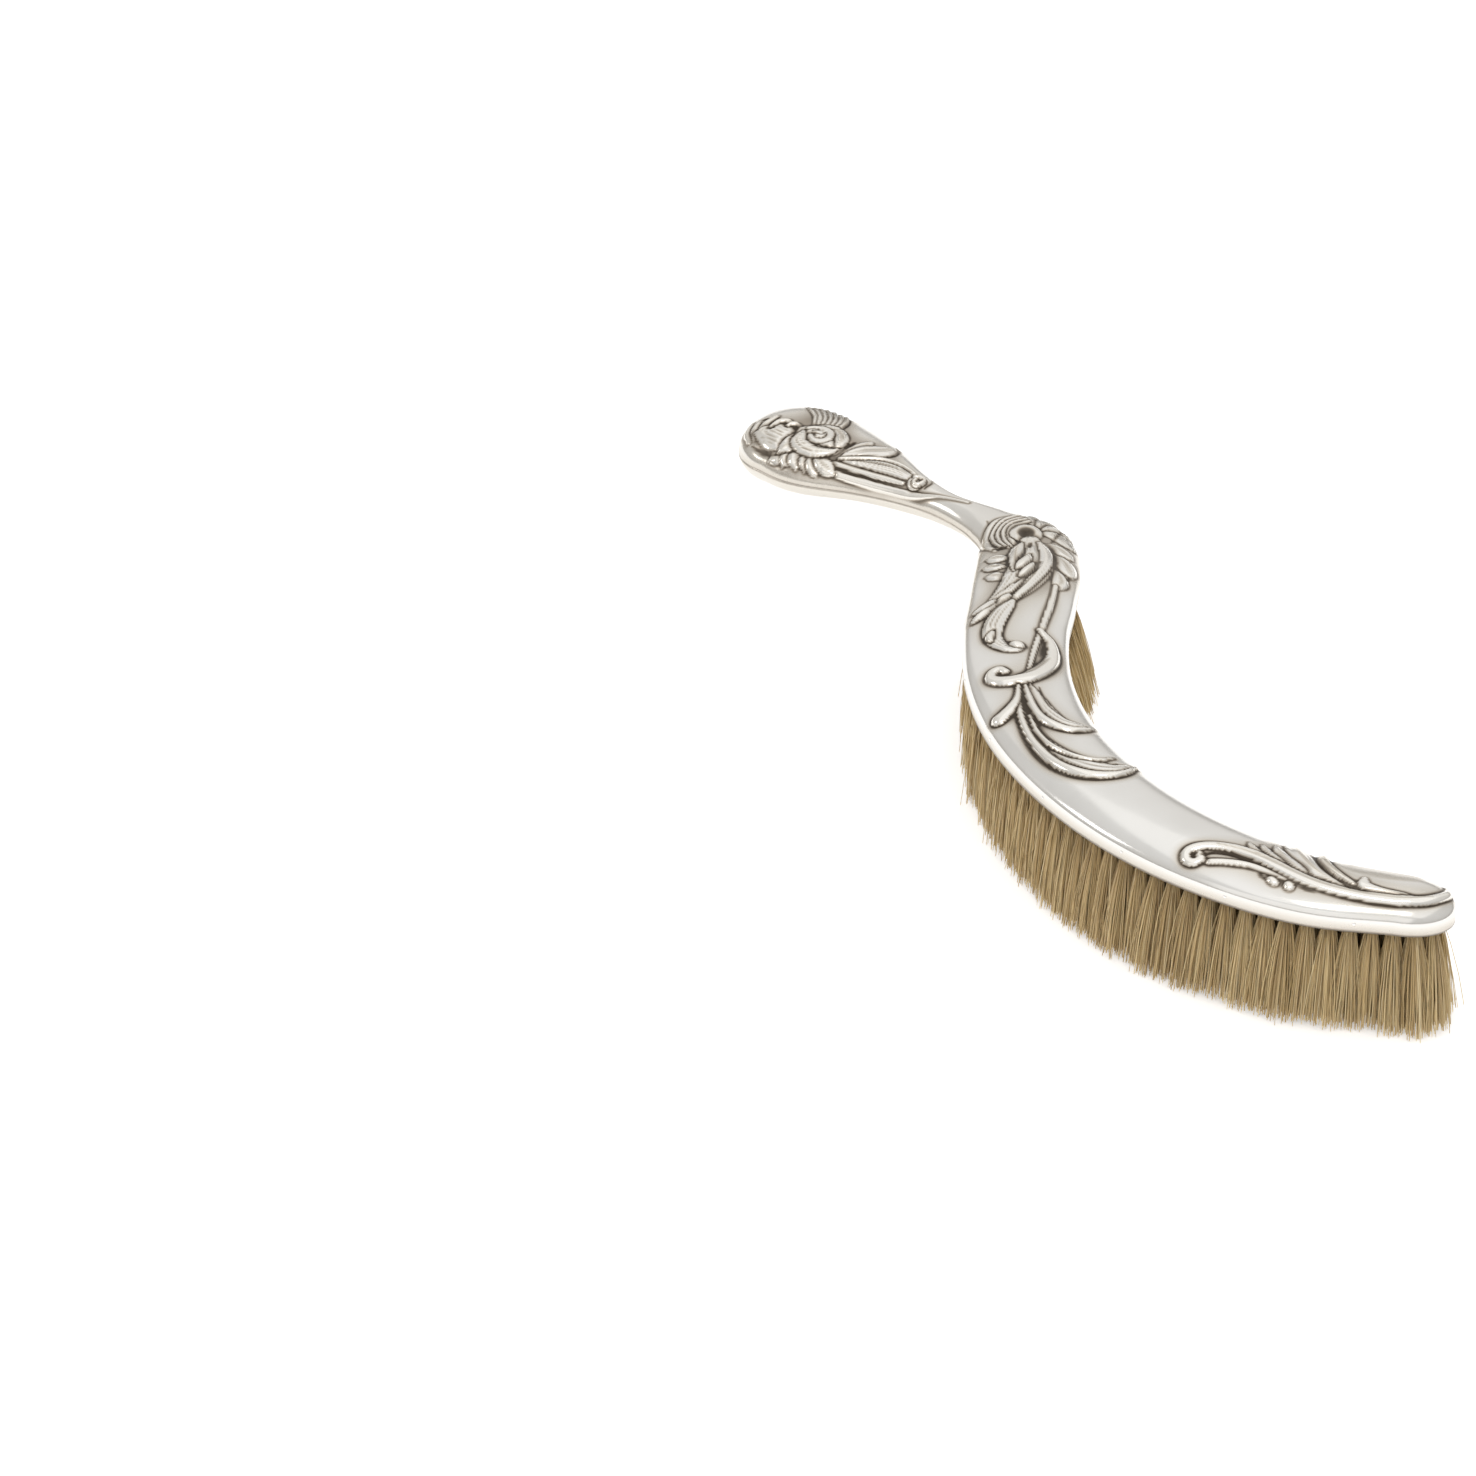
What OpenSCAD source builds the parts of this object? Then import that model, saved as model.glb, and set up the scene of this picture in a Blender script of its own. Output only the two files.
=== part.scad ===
// Table crumb brush: a die-struck silver back and handle over a wooden stock,
// with rows of hair tufts drawn into the stock by wire. It stands on its hair tips.
// Millimetres, +Z up, +X from the handle butt to the brush tip.

/* [Hair] */
// Height of the rim above the hair tips
hair_h = 30; // [24:1:36]
// Distance between tufts along a row
tuft_pitch = 5.2; // [5:0.1:7]
// Radius of a tuft where it enters the wood
tuft_root_r = 1.4; // [1.1:0.1:1.4]
// Radius of a tuft at its trimmed end
tuft_tip_r = 2.35; // [1.6:0.05:2.4]
// Outward lean of the outer rows at the hair tips
side_lean = 0.8; // [0:0.1:1.5]
// Forward lean of the last tufts at the hair tips
end_lean = 3.5; // [0:0.5:4]

/* [Silver back] */
// Thickness of the struck sheet
sheet_t = 0.5; // [0.4:0.05:0.6]
// Height of the side wall on the head
head_wall_h = 5; // [4.8:0.1:6]
// Rise of the crown above the side wall on the head
head_crown_h = 3.8; // [3.4:0.1:5]
// Height of the upper half of the handle at the bulb
bulb_rise = 9.6; // [8:0.1:11]
// Rise of the crown above that on the handle
grip_crown_h = 0.8; // [0.6:0.1:2]
// Number of pins through the side wall
pin_count = 14; // [6:1:20]

/* [Handle underside] */
// Depth of the lower half at the bulb
bulb_depth = 8.8; // [7:0.1:10]
// Depth of the lower half at the neck
neck_depth = 3.6; // [3.2:0.1:4.2]

/* [Stock] */
// Thickness of the drilled wooden block
block_t = 3.1; // [2.8:0.1:3.1]
// Thickness of the board over the drawing wires
board_t = 0.8; // [0.5:0.1:0.8]
// Radius of the drawing wire
wire_r = 0.25; // [0.15:0.05:0.25]

/* [Hidden] */
$fn = 24;

// Stations of the middle line, from the butt to the tip:
// x, y, half width, height of the wall over the rim, depth of the underside below it
STATIONS = [
    [-146, 10, 19.4, bulb_rise, bulb_depth],
    [-134.5, 13.5, 19.6, bulb_rise * 0.92, bulb_depth * 0.9],
    [-118, 19.5, 13.9, 7.3, mix(neck_depth, bulb_depth, 0.45)],
    [-100.5, 23.5, 7.2, 5.6, mix(neck_depth, bulb_depth, 0.25)],
    [-87.1, 26.6, 5.2, 4.5, mix(neck_depth, bulb_depth, 0.1)],
    [-71.3, 30.8, 8.6, 4.8, neck_depth],
    [-55.9, 31.5, 14, 5.9, 2.6],
    [-41.3, 22.7, 15.3, 5.4, 1.4],
    [-26.5, 10.7, 15.2, head_wall_h, 1],
    [-10.5, -2.5, 14.8, head_wall_h, 1],
    [10.5, -16, 14.6, head_wall_h, 1],
    [34, -25.5, 14.4, head_wall_h, 1],
    [59.5, -30, 14.2, head_wall_h, 1],
    [85.5, -29.5, 14, head_wall_h, 1],
    [110.5, -23.5, 13.6, head_wall_h, 1],
    [133, -12.5, 12.6, head_wall_h, 1],
    [150, 3, 10.6, head_wall_h, 1]];
steps = 4;             // rings between two stations
cap_steps = 7;         // rings round each rounded end
cap_last = 86;         // angle of the last ring of an end, degrees
butt_round = 0.9;      // length of the butt's round end over its half width
tip_round = 1.3;       // the same at the tip
turn_a = 95;           // distance from the first station where the handle starts to turn into the head
turn_b = 125;          // and where it has become the head
under_end = 117;       // where the handle's underside ends
block_start = 103;     // where the wooden block starts
board_start = 118;     // where the cover board starts
tuft_start = 120;      // where the first tufts stand
grip_power = 2.2;      // roundness of the handle's section
head_power = 7;        // squareness of the head's section
flange_w = 0.8;        // width of the seam flange on the handle
lip_w = 1.9;           // width of the lip turned in under the head
block_gap = 1.2;       // from the outline to the edge of the block
tuft_inset = 3.6;      // from the outline to the middle of the outer tufts
bore_clear = 0.1;      // space round a tuft in its hole
bore_depth = 2.3;      // depth of a tuft's hole
wire_hole_r = 0.55;    // radius of the hole that the wire comes down
row_gap_min = 4.4;     // rows end where they would come closer than this
fit = 0.05;            // gap between the filling and what it fills
tang_w = 6;            // width of the steel tang
tang_t = 1.4;          // thickness of the steel tang
tang_start = 8;        // where the tang starts in the bulb
pin_r = 0.5;           // radius of a rim pin
pin_l = 2;             // length of a rim pin inside the outline
pin_proud = 0.12;      // how far a pin's head stands out of the wall
pin_up = 2.35;         // height of a rim pin over the rim
screw_r = 0.9;         // shank radius of a tang screw
screw_head_r = 1.7;    // head radius of a tang screw
screw_at = [107, 113]; // where the two tang screws stand

// Heights
function mix(a, b, k) = a + (b - a) * k;
rim_z = hair_h;
block_z = rim_z + sheet_t;
block_top = block_z + block_t;
board_z = block_top + 2 * wire_r;
board_top = board_z + board_t;
tang_z = block_z + (block_t - tang_t) / 2;

silver = [0.80, 0.79, 0.77];
wood = [0.55, 0.40, 0.26];
hair = [0.60, 0.50, 0.34];
pitch_brown = [0.16, 0.12, 0.10];
brass_yellow = [0.75, 0.60, 0.32];
steel_grey = [0.50, 0.50, 0.52];

// ---- middle line ---------------------------------------------------------

last = len(STATIONS) - 1;

function station(i) = i < 0 ? 2 * STATIONS[0] - STATIONS[1]
                    : i > last ? 2 * STATIONS[last] - STATIONS[last - 1]
                    : STATIONS[i];

// A smooth curve through the stations, with u counted in stations
function smooth_line(u) =
    let (i = min(floor(u), last - 1), t = u - i,
         a = station(i - 1), b = station(i), c = station(i + 1), d = station(i + 2))
    (2 * b + (c - a) * t + (2 * a - 5 * b + 4 * c - d) * t ^ 2
     + (3 * b - a - 3 * c + d) * t ^ 3) / 2;

body_pts = [for (i = [0 : last * steps]) smooth_line(i / steps)];
body_n = len(body_pts);
function flat(p) = [p[0], p[1]];
function unit(v) = v / norm(v);
function running(lengths) =
    [for (i = 0, sum = 0; i <= len(lengths); sum = sum + (i < len(lengths) ? lengths[i] : 0), i = i + 1) sum];
body_s = running([for (i = [1 : body_n - 1]) norm(flat(body_pts[i]) - flat(body_pts[i - 1]))]);
function along(i) = unit(flat(body_pts[min(i + 1, body_n - 1)]) - flat(body_pts[max(i - 1, 0)]));
function left_of(t) = [-t[1], t[0]];

// Rings: the butt's rounded end, the body, the tip's rounded end.
// A ring is [middle, half width, direction, distance along, how far round an end, rise, depth].
function end_ring(i, way, roundness, angle, inset) =
    let (half = body_pts[i][2] - inset, t = along(i))
    [flat(body_pts[i]) + way * t * half * roundness * sin(angle), half * cos(angle), t,
     body_s[i] + way * half * roundness * sin(angle), sin(angle), body_pts[i][3], body_pts[i][4]];

function body_ring(i, inset) =
    [flat(body_pts[i]), body_pts[i][2] - inset, along(i), body_s[i], 0, body_pts[i][3], body_pts[i][4]];

function rings(inset) =
    [for (k = [cap_steps : -1 : 1])
        end_ring(0, -1, butt_round, cap_last * k / cap_steps, inset),
     for (i = [0 : body_n - 1]) body_ring(i, inset),
     for (k = [1 : cap_steps])
        end_ring(body_n - 1, 1, tip_round, cap_last * k / cap_steps, inset)];

function rings_between(inset, from, to) = [for (r = rings(inset)) if (r[3] >= from && r[3] <= to) r];
function side_point(r, v) = r[0] + left_of(r[2]) * v * r[1];

// ---- cross-section -------------------------------------------------------

function ease(x) = let (k = max(0, min(1, x))) k * k * (3 - 2 * k);
function head_part(s) = ease((s - turn_a) / (turn_b - turn_a));
function edge_fall(x, power) = (1 - min(1, x) ^ power) ^ (1 / power);

// Height of the top surface over the rim, thinned by t all over
function top_rise(r, v, t) =
    let (k = head_part(r[3]), x = sqrt(r[4] ^ 2 + (1 - r[4] ^ 2) * v ^ 2),
         power = mix(grip_power, head_power, k), crown = mix(grip_crown_h, head_crown_h, k))
    (r[5] - t) * edge_fall(x, power) + crown * (1 - x ^ 2);

// Depth of the handle's underside below the rim, thinned by t
function under_drop(r, v, t) =
    let (x = sqrt(r[4] ^ 2 + (1 - r[4] ^ 2) * v ^ 2))
    (r[6] - t) * edge_fall(x, grip_power);

// Places across a section, from one edge to the other
half_v = [0, 0.3, 0.55, 0.75, 0.88, 0.95, 0.985, 1];
across = [for (k = [len(half_v) - 1 : -1 : 1]) -half_v[k], for (v = half_v) v];
half_u = [0, 0.4, 0.7, 0.88, 0.97, 1];
under_across = [for (k = [len(half_u) - 1 : -1 : 1]) -half_u[k], for (v = half_u) v];

// ---- shells --------------------------------------------------------------

// Two triangles for each cell of a grid of points, numbered from start
function grid_faces(rows, cols, start, flip) =
    [for (i = [0 : rows - 2], j = [0 : cols - 2])
        let (a = start + i * cols + j, b = a + 1, c = a + cols, d = c + 1)
        each (flip ? [[a, c, b], [b, c, d]] : [[a, b, c], [b, d, c]])];

// A fan over the open end of a grid, from the first point of that ring
function end_faces(cols, start, flip) =
    [for (j = [1 : cols - 2])
        flip ? [start, start + j + 1, start + j] : [start, start + j, start + j + 1]];

// The loop round the foot of a grid of rings
function foot_loop(rs, z) =
    let (n = len(rs))
    [for (r = rs) concat(side_point(r, -1), z), for (k = [n - 1 : -1 : 0]) concat(side_point(rs[k], 1), z)];

// A thin shell over rings: its outside and inside, joined round the foot
// by a flange that reaches in by lip(ring). Up is 1 for a cover and -1 for a dish.
module shell(outer, inner, lips, vs, outer_z, inner_z, foot_z, up) {
    rows = len(outer);
    cols = len(vs);
    loop = 2 * rows;
    grid_a = [for (i = [0 : rows - 1], j = [0 : cols - 1]) concat(side_point(outer[i], vs[j]), outer_z[i][j])];
    grid_b = [for (i = [0 : rows - 1], j = [0 : cols - 1]) concat(side_point(inner[i], vs[j]), inner_z[i][j])];
    foot_out = foot_loop(lips, foot_z);
    foot_in = foot_loop(lips, foot_z + up * sheet_t);
    base_b = rows * cols;
    base_c = 2 * base_b;
    base_d = base_c + loop;
    // index of each foot loop point of a grid that starts at g
    rim_a = [for (i = [0 : rows - 1]) i * cols, for (k = [rows - 1 : -1 : 0]) k * cols + cols - 1];
    rim_b = [for (i = rim_a) i + base_b];
    flip = up < 0;
    faces = concat(
        grid_faces(rows, cols, 0, flip),
        grid_faces(rows, cols, base_b, !flip),
        end_faces(cols, 0, !flip),
        end_faces(cols, (rows - 1) * cols, flip),
        end_faces(cols, base_b, flip),
        end_faces(cols, base_b + (rows - 1) * cols, !flip),
        ribbon(rim_a, [for (i = [0 : loop - 1]) base_c + i], flip),
        ribbon([for (i = [0 : loop - 1]) base_c + i], [for (i = [0 : loop - 1]) base_d + i], flip),
        ribbon([for (i = [0 : loop - 1]) base_d + i], rim_b, flip));
    polyhedron(concat(grid_a, grid_b, foot_out, foot_in), faces);
}

// Faces between two closed loops given by point numbers
function ribbon(a, b, flip) =
    [for (i = [0 : len(a) - 1])
        let (n = (i + 1) % len(a))
        each (flip ? [[a[i], b[i], a[n]], [a[n], b[i], b[n]]] : [[a[i], a[n], b[i]], [a[n], b[n], b[i]]])];

// A solid swept along rings, from a closed loop of points at each ring
module swept(loops) {
    rows = len(loops);
    cols = len(loops[0]);
    pts = [for (l = loops) each l];
    sides = [for (i = [0 : rows - 2], j = [0 : cols - 1])
        let (n = (j + 1) % cols, a = i * cols + j, b = i * cols + n, c = a + cols, d = b + cols)
        each [[a, b, c], [b, d, c]]];
    ends = [[for (j = [cols - 1 : -1 : 0]) j], [for (j = [0 : cols - 1]) (rows - 1) * cols + j]];
    polyhedron(pts, concat(sides, ends));
}

// ---- tufts ---------------------------------------------------------------

// The line of row number row (1 to 5, right to left), as points with what the tufts there need
function row_side(row) = (row - 3) / 2;
function row_line(row) =
    let (f = row_side(row), share = abs(f) == 0.5 ? 0.5 : 1, gap = abs(f) == 1 ? tuft_pitch / 2 : row_gap_min)
    [for (r = rings_between(tuft_inset, tuft_start, 1000))
        if (r[1] * share >= gap) [side_point(r, f), r[3], r[2]]];

function row_tufts(row) =
    let (line = row_line(row),
         at = running([for (i = [1 : len(line) - 1]) norm(line[i][0] - line[i - 1][0])]),
         total = at[len(at) - 1],
         gaps = floor(total / tuft_pitch),
         pick = function (get) [for (i = [0 : len(line) - 1]) [at[i], get(line[i])]],
         xs = pick(function (p) p[0][0]), ys = pick(function (p) p[0][1]),
         ss = pick(function (p) p[1]), tx = pick(function (p) p[2][0]), ty = pick(function (p) p[2][1]))
    [for (k = [0 : gaps])
        let (d = total * k / gaps)
        [[lookup(d, xs), lookup(d, ys)], lookup(d, ss), [lookup(d, tx), lookup(d, ty)]]];

end_s = body_s[body_n - 1];
function tuft_lean(row, s, t) =
    left_of(t) * row_side(row) * side_lean
    + t * end_lean * (ease((s - end_s + 16) / 24) - 0.4 * ease((tuft_start + 12 - s) / 12));

TUFTS = [for (row = [1 : 5]) row_tufts(row)];

// A tuft is a leaning cone that comes out of a straight plug in its hole
module tuft(at, lean) {
    over = 1.1;      // the cone runs on past the trim by this much
    sunk = 0.7;      // and this far up inside the plug
    step = 0.12;     // the cone is this much thinner than the plug where they meet
    low = concat(at + lean * over, rim_z * (1 - over));
    high = concat(at - lean * sunk / rim_z, block_z + sunk);
    d = high - low;
    translate(low)
        rotate([0, acos(d[2] / norm(d)), atan2(d[1], d[0])])
            cylinder(h = norm(d), r1 = tuft_tip_r, r2 = tuft_root_r - step);
    translate([at[0], at[1], block_z])
        cylinder(h = bore_depth - 0.1, r = tuft_root_r);
}

module bristle_row(row)
    color(hair)
        intersection() {
            for (p = TUFTS[row - 1]) tuft(p[0], tuft_lean(row, p[1], p[2]));
            translate([-200, -100, 0]) cube([400, 200, hair_h + 20]);
        }

module draw_wire(row)
    color(brass_yellow) {
        ps = TUFTS[row - 1];
        loop_r = wire_r + 0.05;
        for (p = ps)
            translate([p[0][0], p[0][1], block_z + bore_depth - 1])
                cylinder(h = block_top + 1.9 * wire_r - block_z - bore_depth + 1, r = loop_r);
        for (k = [1 : len(ps) - 1])
            wire_hop(ps[k - 1][0], ps[k][0]);
    }

// One hop of the wire along the back of the block
module wire_hop(a, b) {
    short = 0.1;
    d = b - a;
    start = a + unit(d) * short;
    translate([start[0], start[1], block_top + wire_r * 0.9])
        rotate([0, 90, atan2(d[1], d[0])])
            cylinder(h = norm(d) - 2 * short, r = wire_r * 0.85);
}

// ---- sub-parts -----------------------------------------------------------

module silver_back() {
    outer = rings(0);
    inner = rings(sheet_t);
    lips = [for (i = [0 : len(outer) - 1])
        rings(mix(flange_w, lip_w, head_part(outer[i][3] + 5)))[i]];
    color(silver)
        difference() {
            shell(outer, inner, lips, across,
                [for (r = outer) [for (v = across) rim_z + top_rise(r, v, 0)]],
                [for (r = inner) [for (v = across) rim_z + sheet_t + top_rise(r, v, 2 * sheet_t)]],
                rim_z, 1);
            at_pins() linear_extrude(pin_l + 1) circle(r = pin_r + 0.05, $fn = 8);
        }
}

module handle_underside() {
    outer = rings_between(0, -100, under_end);
    inner = [for (i = [0 : len(outer) - 1]) rings(sheet_t)[i]];
    lips = [for (i = [0 : len(outer) - 1]) rings(flange_w)[i]];
    color(silver)
        shell(outer, inner, lips, under_across,
            [for (r = outer) [for (v = under_across) rim_z - under_drop(r, v, 0)]],
            [for (r = inner) [for (v = under_across) rim_z - under_drop(r, v, sheet_t)]],
            rim_z, -1);
}

// The places of the pins, evenly spread round the head's side wall: each point and its way out
function pin_places() =
    let (per_side = floor(pin_count / 2))
    [for (side = [-1, 1])
        let (edge = rings_between(0, turn_b + 5, end_s + 4))
        for (k = [0 : per_side - 1])
            let (r = edge[round((k + 0.5) * (len(edge) - 1) / per_side)])
            [side_point(r, side), left_of(r[2]) * side]];

// Stands what it is given at each pin's inner end, with Z pointing out through the wall
module at_pins()
    for (p = pin_places())
        translate(concat(p[0] - p[1] * pin_l, rim_z + pin_up))
            rotate([0, 90, atan2(p[1][1], p[1][0])])
                children();

module rim_pins()
    color(silver)
        at_pins() cylinder(h = pin_l + pin_proud, r = pin_r);

// Half width of the block, drawn in to a nose where it meets the handle
function block_half(r) = r[1] - 5 * (1 - ease((r[3] - block_start) / 10));

module band(rs)
    polygon([for (r = rs) side_point(r, -1), for (k = [len(rs) - 1 : -1 : 0]) side_point(rs[k], 1)]);

module bristle_block()
    color(wood)
        difference() {
            translate([0, 0, block_z])
                linear_extrude(block_t)
                    band([for (r = rings_between(block_gap, block_start, 1000)) [r[0], block_half(r), r[2]]]);
            for (row = TUFTS, p = row)
                translate([p[0][0], p[0][1], block_z]) {
                    translate([0, 0, -1]) cylinder(h = bore_depth + 1, r = tuft_root_r + bore_clear);
                    cylinder(h = block_t + 1, r = wire_hole_r);
                }
            tang_bar();
            for (s = screw_at) screw(s, 0);
        }

module cover_board()
    color(wood)
        translate([0, 0, board_z])
            linear_extrude(board_t) band(rings_between(block_gap + 1, board_start, 1000));

module head_filling() {
    rs = [for (r = rings_between(sheet_t + fit, block_start + 1, 1000)) if (r[4] < 0.75) r];
    reach = [for (r = rs) mix(0.78, 0.86, ease((r[3] - block_start) / 17)) * (1 - 0.3 * r[4])];
    floor_z = [for (r = rs) fit + (r[3] < board_start - 4 ? block_top : board_top)];
    vs = [-1, -0.85, -0.6, -0.3, 0, 0.3, 0.6, 0.85, 1];
    color(pitch_brown)
        swept([for (i = [0 : len(rs) - 1])
            let (r = rs[i], w = reach[i], low = floor_z[i])
            concat(
                [for (v = vs)
                    concat(side_point(r, v * w),
                        max(low + fit, rim_z + sheet_t - fit + top_rise(r, v * w, 2 * sheet_t)))],
                [concat(side_point(r, w), low), concat(side_point(r, -w), low)])]);
}

// The handle's filling, run in as two halves: the upper one has a channel for the tang,
// and the lower one a ridge that closes the channel under it
grip_rings = rings_between(flange_w + fit, -100, block_start - 1);
grip_vs = [-0.97, -0.85, -0.6, -0.3, 0, 0.3, 0.6, 0.85, 0.97];

module grip_filling_upper()
    color(pitch_brown)
        swept([for (r = grip_rings)
            let (face = parting(r, rim_z + fit / 2, tang_z + tang_t + fit, tang_w / 2 + fit))
            concat([for (v = grip_vs) concat(side_point(r, v), rim_z + top_rise(r, v, sheet_t + fit))],
                [for (k = [len(face) - 1 : -1 : 0]) face[k]])]);

module grip_filling_lower()
    color(pitch_brown)
        swept([for (r = grip_rings)
            concat(parting(r, rim_z - fit / 2, tang_z - fit, tang_w / 2),
                [for (k = [len(grip_vs) - 1 : -1 : 0])
                    concat(side_point(r, grip_vs[k]), rim_z - under_drop(r, grip_vs[k], sheet_t + fit))])]);

// The parting face of a half across one ring, right to left, level but for a step up in the middle
function parting(r, z, step_z, step_w) =
    let (w = min(step_w, 0.75 * r[1]) / r[1], top = r[3] < tang_start - 3 ? z + fit / 4 : step_z)
    [concat(side_point(r, -0.93), z), concat(side_point(r, -w), z), concat(side_point(r, -w), top),
     concat(side_point(r, w), top), concat(side_point(r, w), z), concat(side_point(r, 0.93), z)];

// A flat bar along the middle line, from the bulb into the block's slot
module tang_bar()
    translate([0, 0, tang_z])
        linear_extrude(tang_t)
            band([for (r = rings_between(0, tang_start, screw_at[1] + 3)) [r[0], tang_w / 2, r[2]]]);

module handle_tang()
    color(steel_grey)
        difference() {
            tang_bar();
            for (s = screw_at) screw(s, bore_clear);
        }

// A countersunk wood screw down through the block and the tang, at distance s along the middle line
module screw(s, clear) {
    xs = [for (i = [0 : body_n - 1]) [body_s[i], body_pts[i][0]]];
    ys = [for (i = [0 : body_n - 1]) [body_s[i], body_pts[i][1]]];
    head_h = screw_head_r - screw_r;
    translate([lookup(s, xs), lookup(s, ys), 0]) {
        translate([0, 0, block_z + 0.5])
            cylinder(h = block_t - 0.5, r = screw_r + clear);
        translate([0, 0, block_top - head_h])
            cylinder(h = head_h, r1 = screw_r + clear, r2 = screw_head_r + clear);
    }
}

module tang_screws()
    color(steel_grey) {
        for (s = screw_at) screw(s, 0);
    }

silver_back();
handle_underside();
rim_pins();
bristle_block();
cover_board();
head_filling();
grip_filling_upper();
grip_filling_lower();
handle_tang();
tang_screws();
draw_wire(1);  // draw_wire_1
draw_wire(2);  // draw_wire_2
draw_wire(3);  // draw_wire_3
draw_wire(4);  // draw_wire_4
draw_wire(5);  // draw_wire_5
bristle_row(1);  // bristle_row_1
bristle_row(2);  // bristle_row_2
bristle_row(3);  // bristle_row_3
bristle_row(4);  // bristle_row_4
bristle_row(5);  // bristle_row_5
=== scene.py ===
"""Table crumb brush: struck silver back and handle, wooden stock, drawn hair tufts."""
import math

import bmesh
import bpy
import numpy as np
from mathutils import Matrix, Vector


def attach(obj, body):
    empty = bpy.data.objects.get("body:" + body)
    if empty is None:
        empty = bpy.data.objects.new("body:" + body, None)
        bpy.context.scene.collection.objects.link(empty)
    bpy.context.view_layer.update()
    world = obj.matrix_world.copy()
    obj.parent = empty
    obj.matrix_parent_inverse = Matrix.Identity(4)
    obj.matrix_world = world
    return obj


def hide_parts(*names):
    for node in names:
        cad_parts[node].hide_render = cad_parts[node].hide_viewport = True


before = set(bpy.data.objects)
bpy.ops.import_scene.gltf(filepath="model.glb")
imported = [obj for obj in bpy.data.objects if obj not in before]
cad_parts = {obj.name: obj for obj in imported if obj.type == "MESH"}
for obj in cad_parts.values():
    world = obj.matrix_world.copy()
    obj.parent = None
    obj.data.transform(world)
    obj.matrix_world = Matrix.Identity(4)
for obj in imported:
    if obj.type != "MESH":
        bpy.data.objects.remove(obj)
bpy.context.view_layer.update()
MM = 0.001

# ---- sizes, in millimetres ------------------------------------------------------

RIM_Z = 30.0
SHEET = 0.5
BULB_RISE, BULB_DEPTH, NECK_DEPTH, HEAD_WALL = 9.6, 8.8, 3.6, 5.0
GRIP_CROWN, HEAD_CROWN = 0.8, 3.8
GRIP_POWER, HEAD_POWER = 2.2, 7.0
BUTT_ROUND, TIP_ROUND = 0.9, 1.3
TURN_A, TURN_B = 95.0, 125.0
UNDER_END = 117.0
FLANGE_W, LIP_W = 0.8, 1.9
PIN_COUNT, PIN_UP, PIN_R, PIN_DOME = 14, 2.35, 0.5, 0.2

# the tufts: where they stand, how wide they are, and how they lean
TUFT_PITCH, TUFT_START, TUFT_INSET = 5.2, 120.0, 3.6
TUFT_ROOT_R, TUFT_TIP_R = 1.4, 3.45
SIDE_LEAN, END_LEAN, ROW_GAP_MIN = 0.8, 3.5, 4.4
FAR_SPLAY = {1: 5.2, 0.5: 2.4}
NEAR_PULL = {-1: 2.3, -0.5: 1.0}
SPLAY_FULL, SPLAY_GONE, PULL_FULL, PULL_GONE = 138, 172, 190, 240
TUFT_WOBBLE, TIP_UNEVEN = 0.45, (-0.2, 0.35)
FLOOR_GAP, SHORTEST_CUT = 0.15, 1.9
WOBBLE_SEED, HAIR_SEED = 40, 700

# ---- tarnish and painted shade of the silver: 0 is bright and 1 is black; crests rubbed bright and painted highlight ---

FILM, GRIP_FILM = 0.03, 0.07
HOLLOW_SOOT, CREASE_SOOT, CREASE_MOST = 2.0, 4, 0.6
# painted shade: the wall darker towards its foot, gone at this height over the rim
WALL_PAINTED_SHADE, WALL_PAINTED_SHADE_UP = 0.34, 4.2
GRIP_SEAM, HEAD_SEAM, UNDER_SEAM = 0.45, 0.8, 0.45
# the first value is painted shade over the whole underside of the handle
UNDER_PAINTED_SHADE, RIM_EDGE, INSIDE = 0.2, 0.6, 0.35
# how much lighter the crests are made: partly rubbed bright, partly painted highlight
CREST_RUB_AND_HIGHLIGHT = 2.2
# soot on the plain ground near the ornaments, at distances along the middle line
SMOKE_AT = [-18, 30, 60, 80, 90, 135, 150, 215, 232, 270, 280, 341]
SMOKE = [0.6, 0.55, 0.22, 0.22, 0.55, 0.5, 0.28, 0.26, 0.05, 0.12, 0.45, 0.45]



def mix(a, b, k):
    """From a at k = 0 to b at k = 1."""
    return a + (b - a) * k


# Middle line from the butt to the tip: x, y, half width, wall height, underside depth
STATIONS = np.array([
    [-146, 10, 19.4, BULB_RISE, BULB_DEPTH],
    [-134.5, 13.5, 19.6, BULB_RISE * 0.92, BULB_DEPTH * 0.9],
    [-118, 19.5, 13.9, 7.3, mix(NECK_DEPTH, BULB_DEPTH, 0.45)],
    [-100.5, 23.5, 7.2, 5.6, mix(NECK_DEPTH, BULB_DEPTH, 0.25)],
    [-87.1, 26.6, 5.2, 4.5, mix(NECK_DEPTH, BULB_DEPTH, 0.1)],
    [-71.3, 30.8, 8.6, 4.8, NECK_DEPTH],
    [-55.9, 31.5, 14, 5.9, 2.6],
    [-41.3, 22.7, 15.3, 5.4, 1.4],
    [-26.5, 10.7, 15.2, HEAD_WALL, 1],
    [-10.5, -2.5, 14.8, HEAD_WALL, 1],
    [10.5, -16, 14.6, HEAD_WALL, 1],
    [34, -25.5, 14.4, HEAD_WALL, 1],
    [59.5, -30, 14.2, HEAD_WALL, 1],
    [85.5, -29.5, 14, HEAD_WALL, 1],
    [110.5, -23.5, 13.6, HEAD_WALL, 1],
    [133, -12.5, 12.6, HEAD_WALL, 1],
    [150, 3, 10.6, HEAD_WALL, 1]], float)

# ---- the middle line --------------------------------------------------------------


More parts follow.
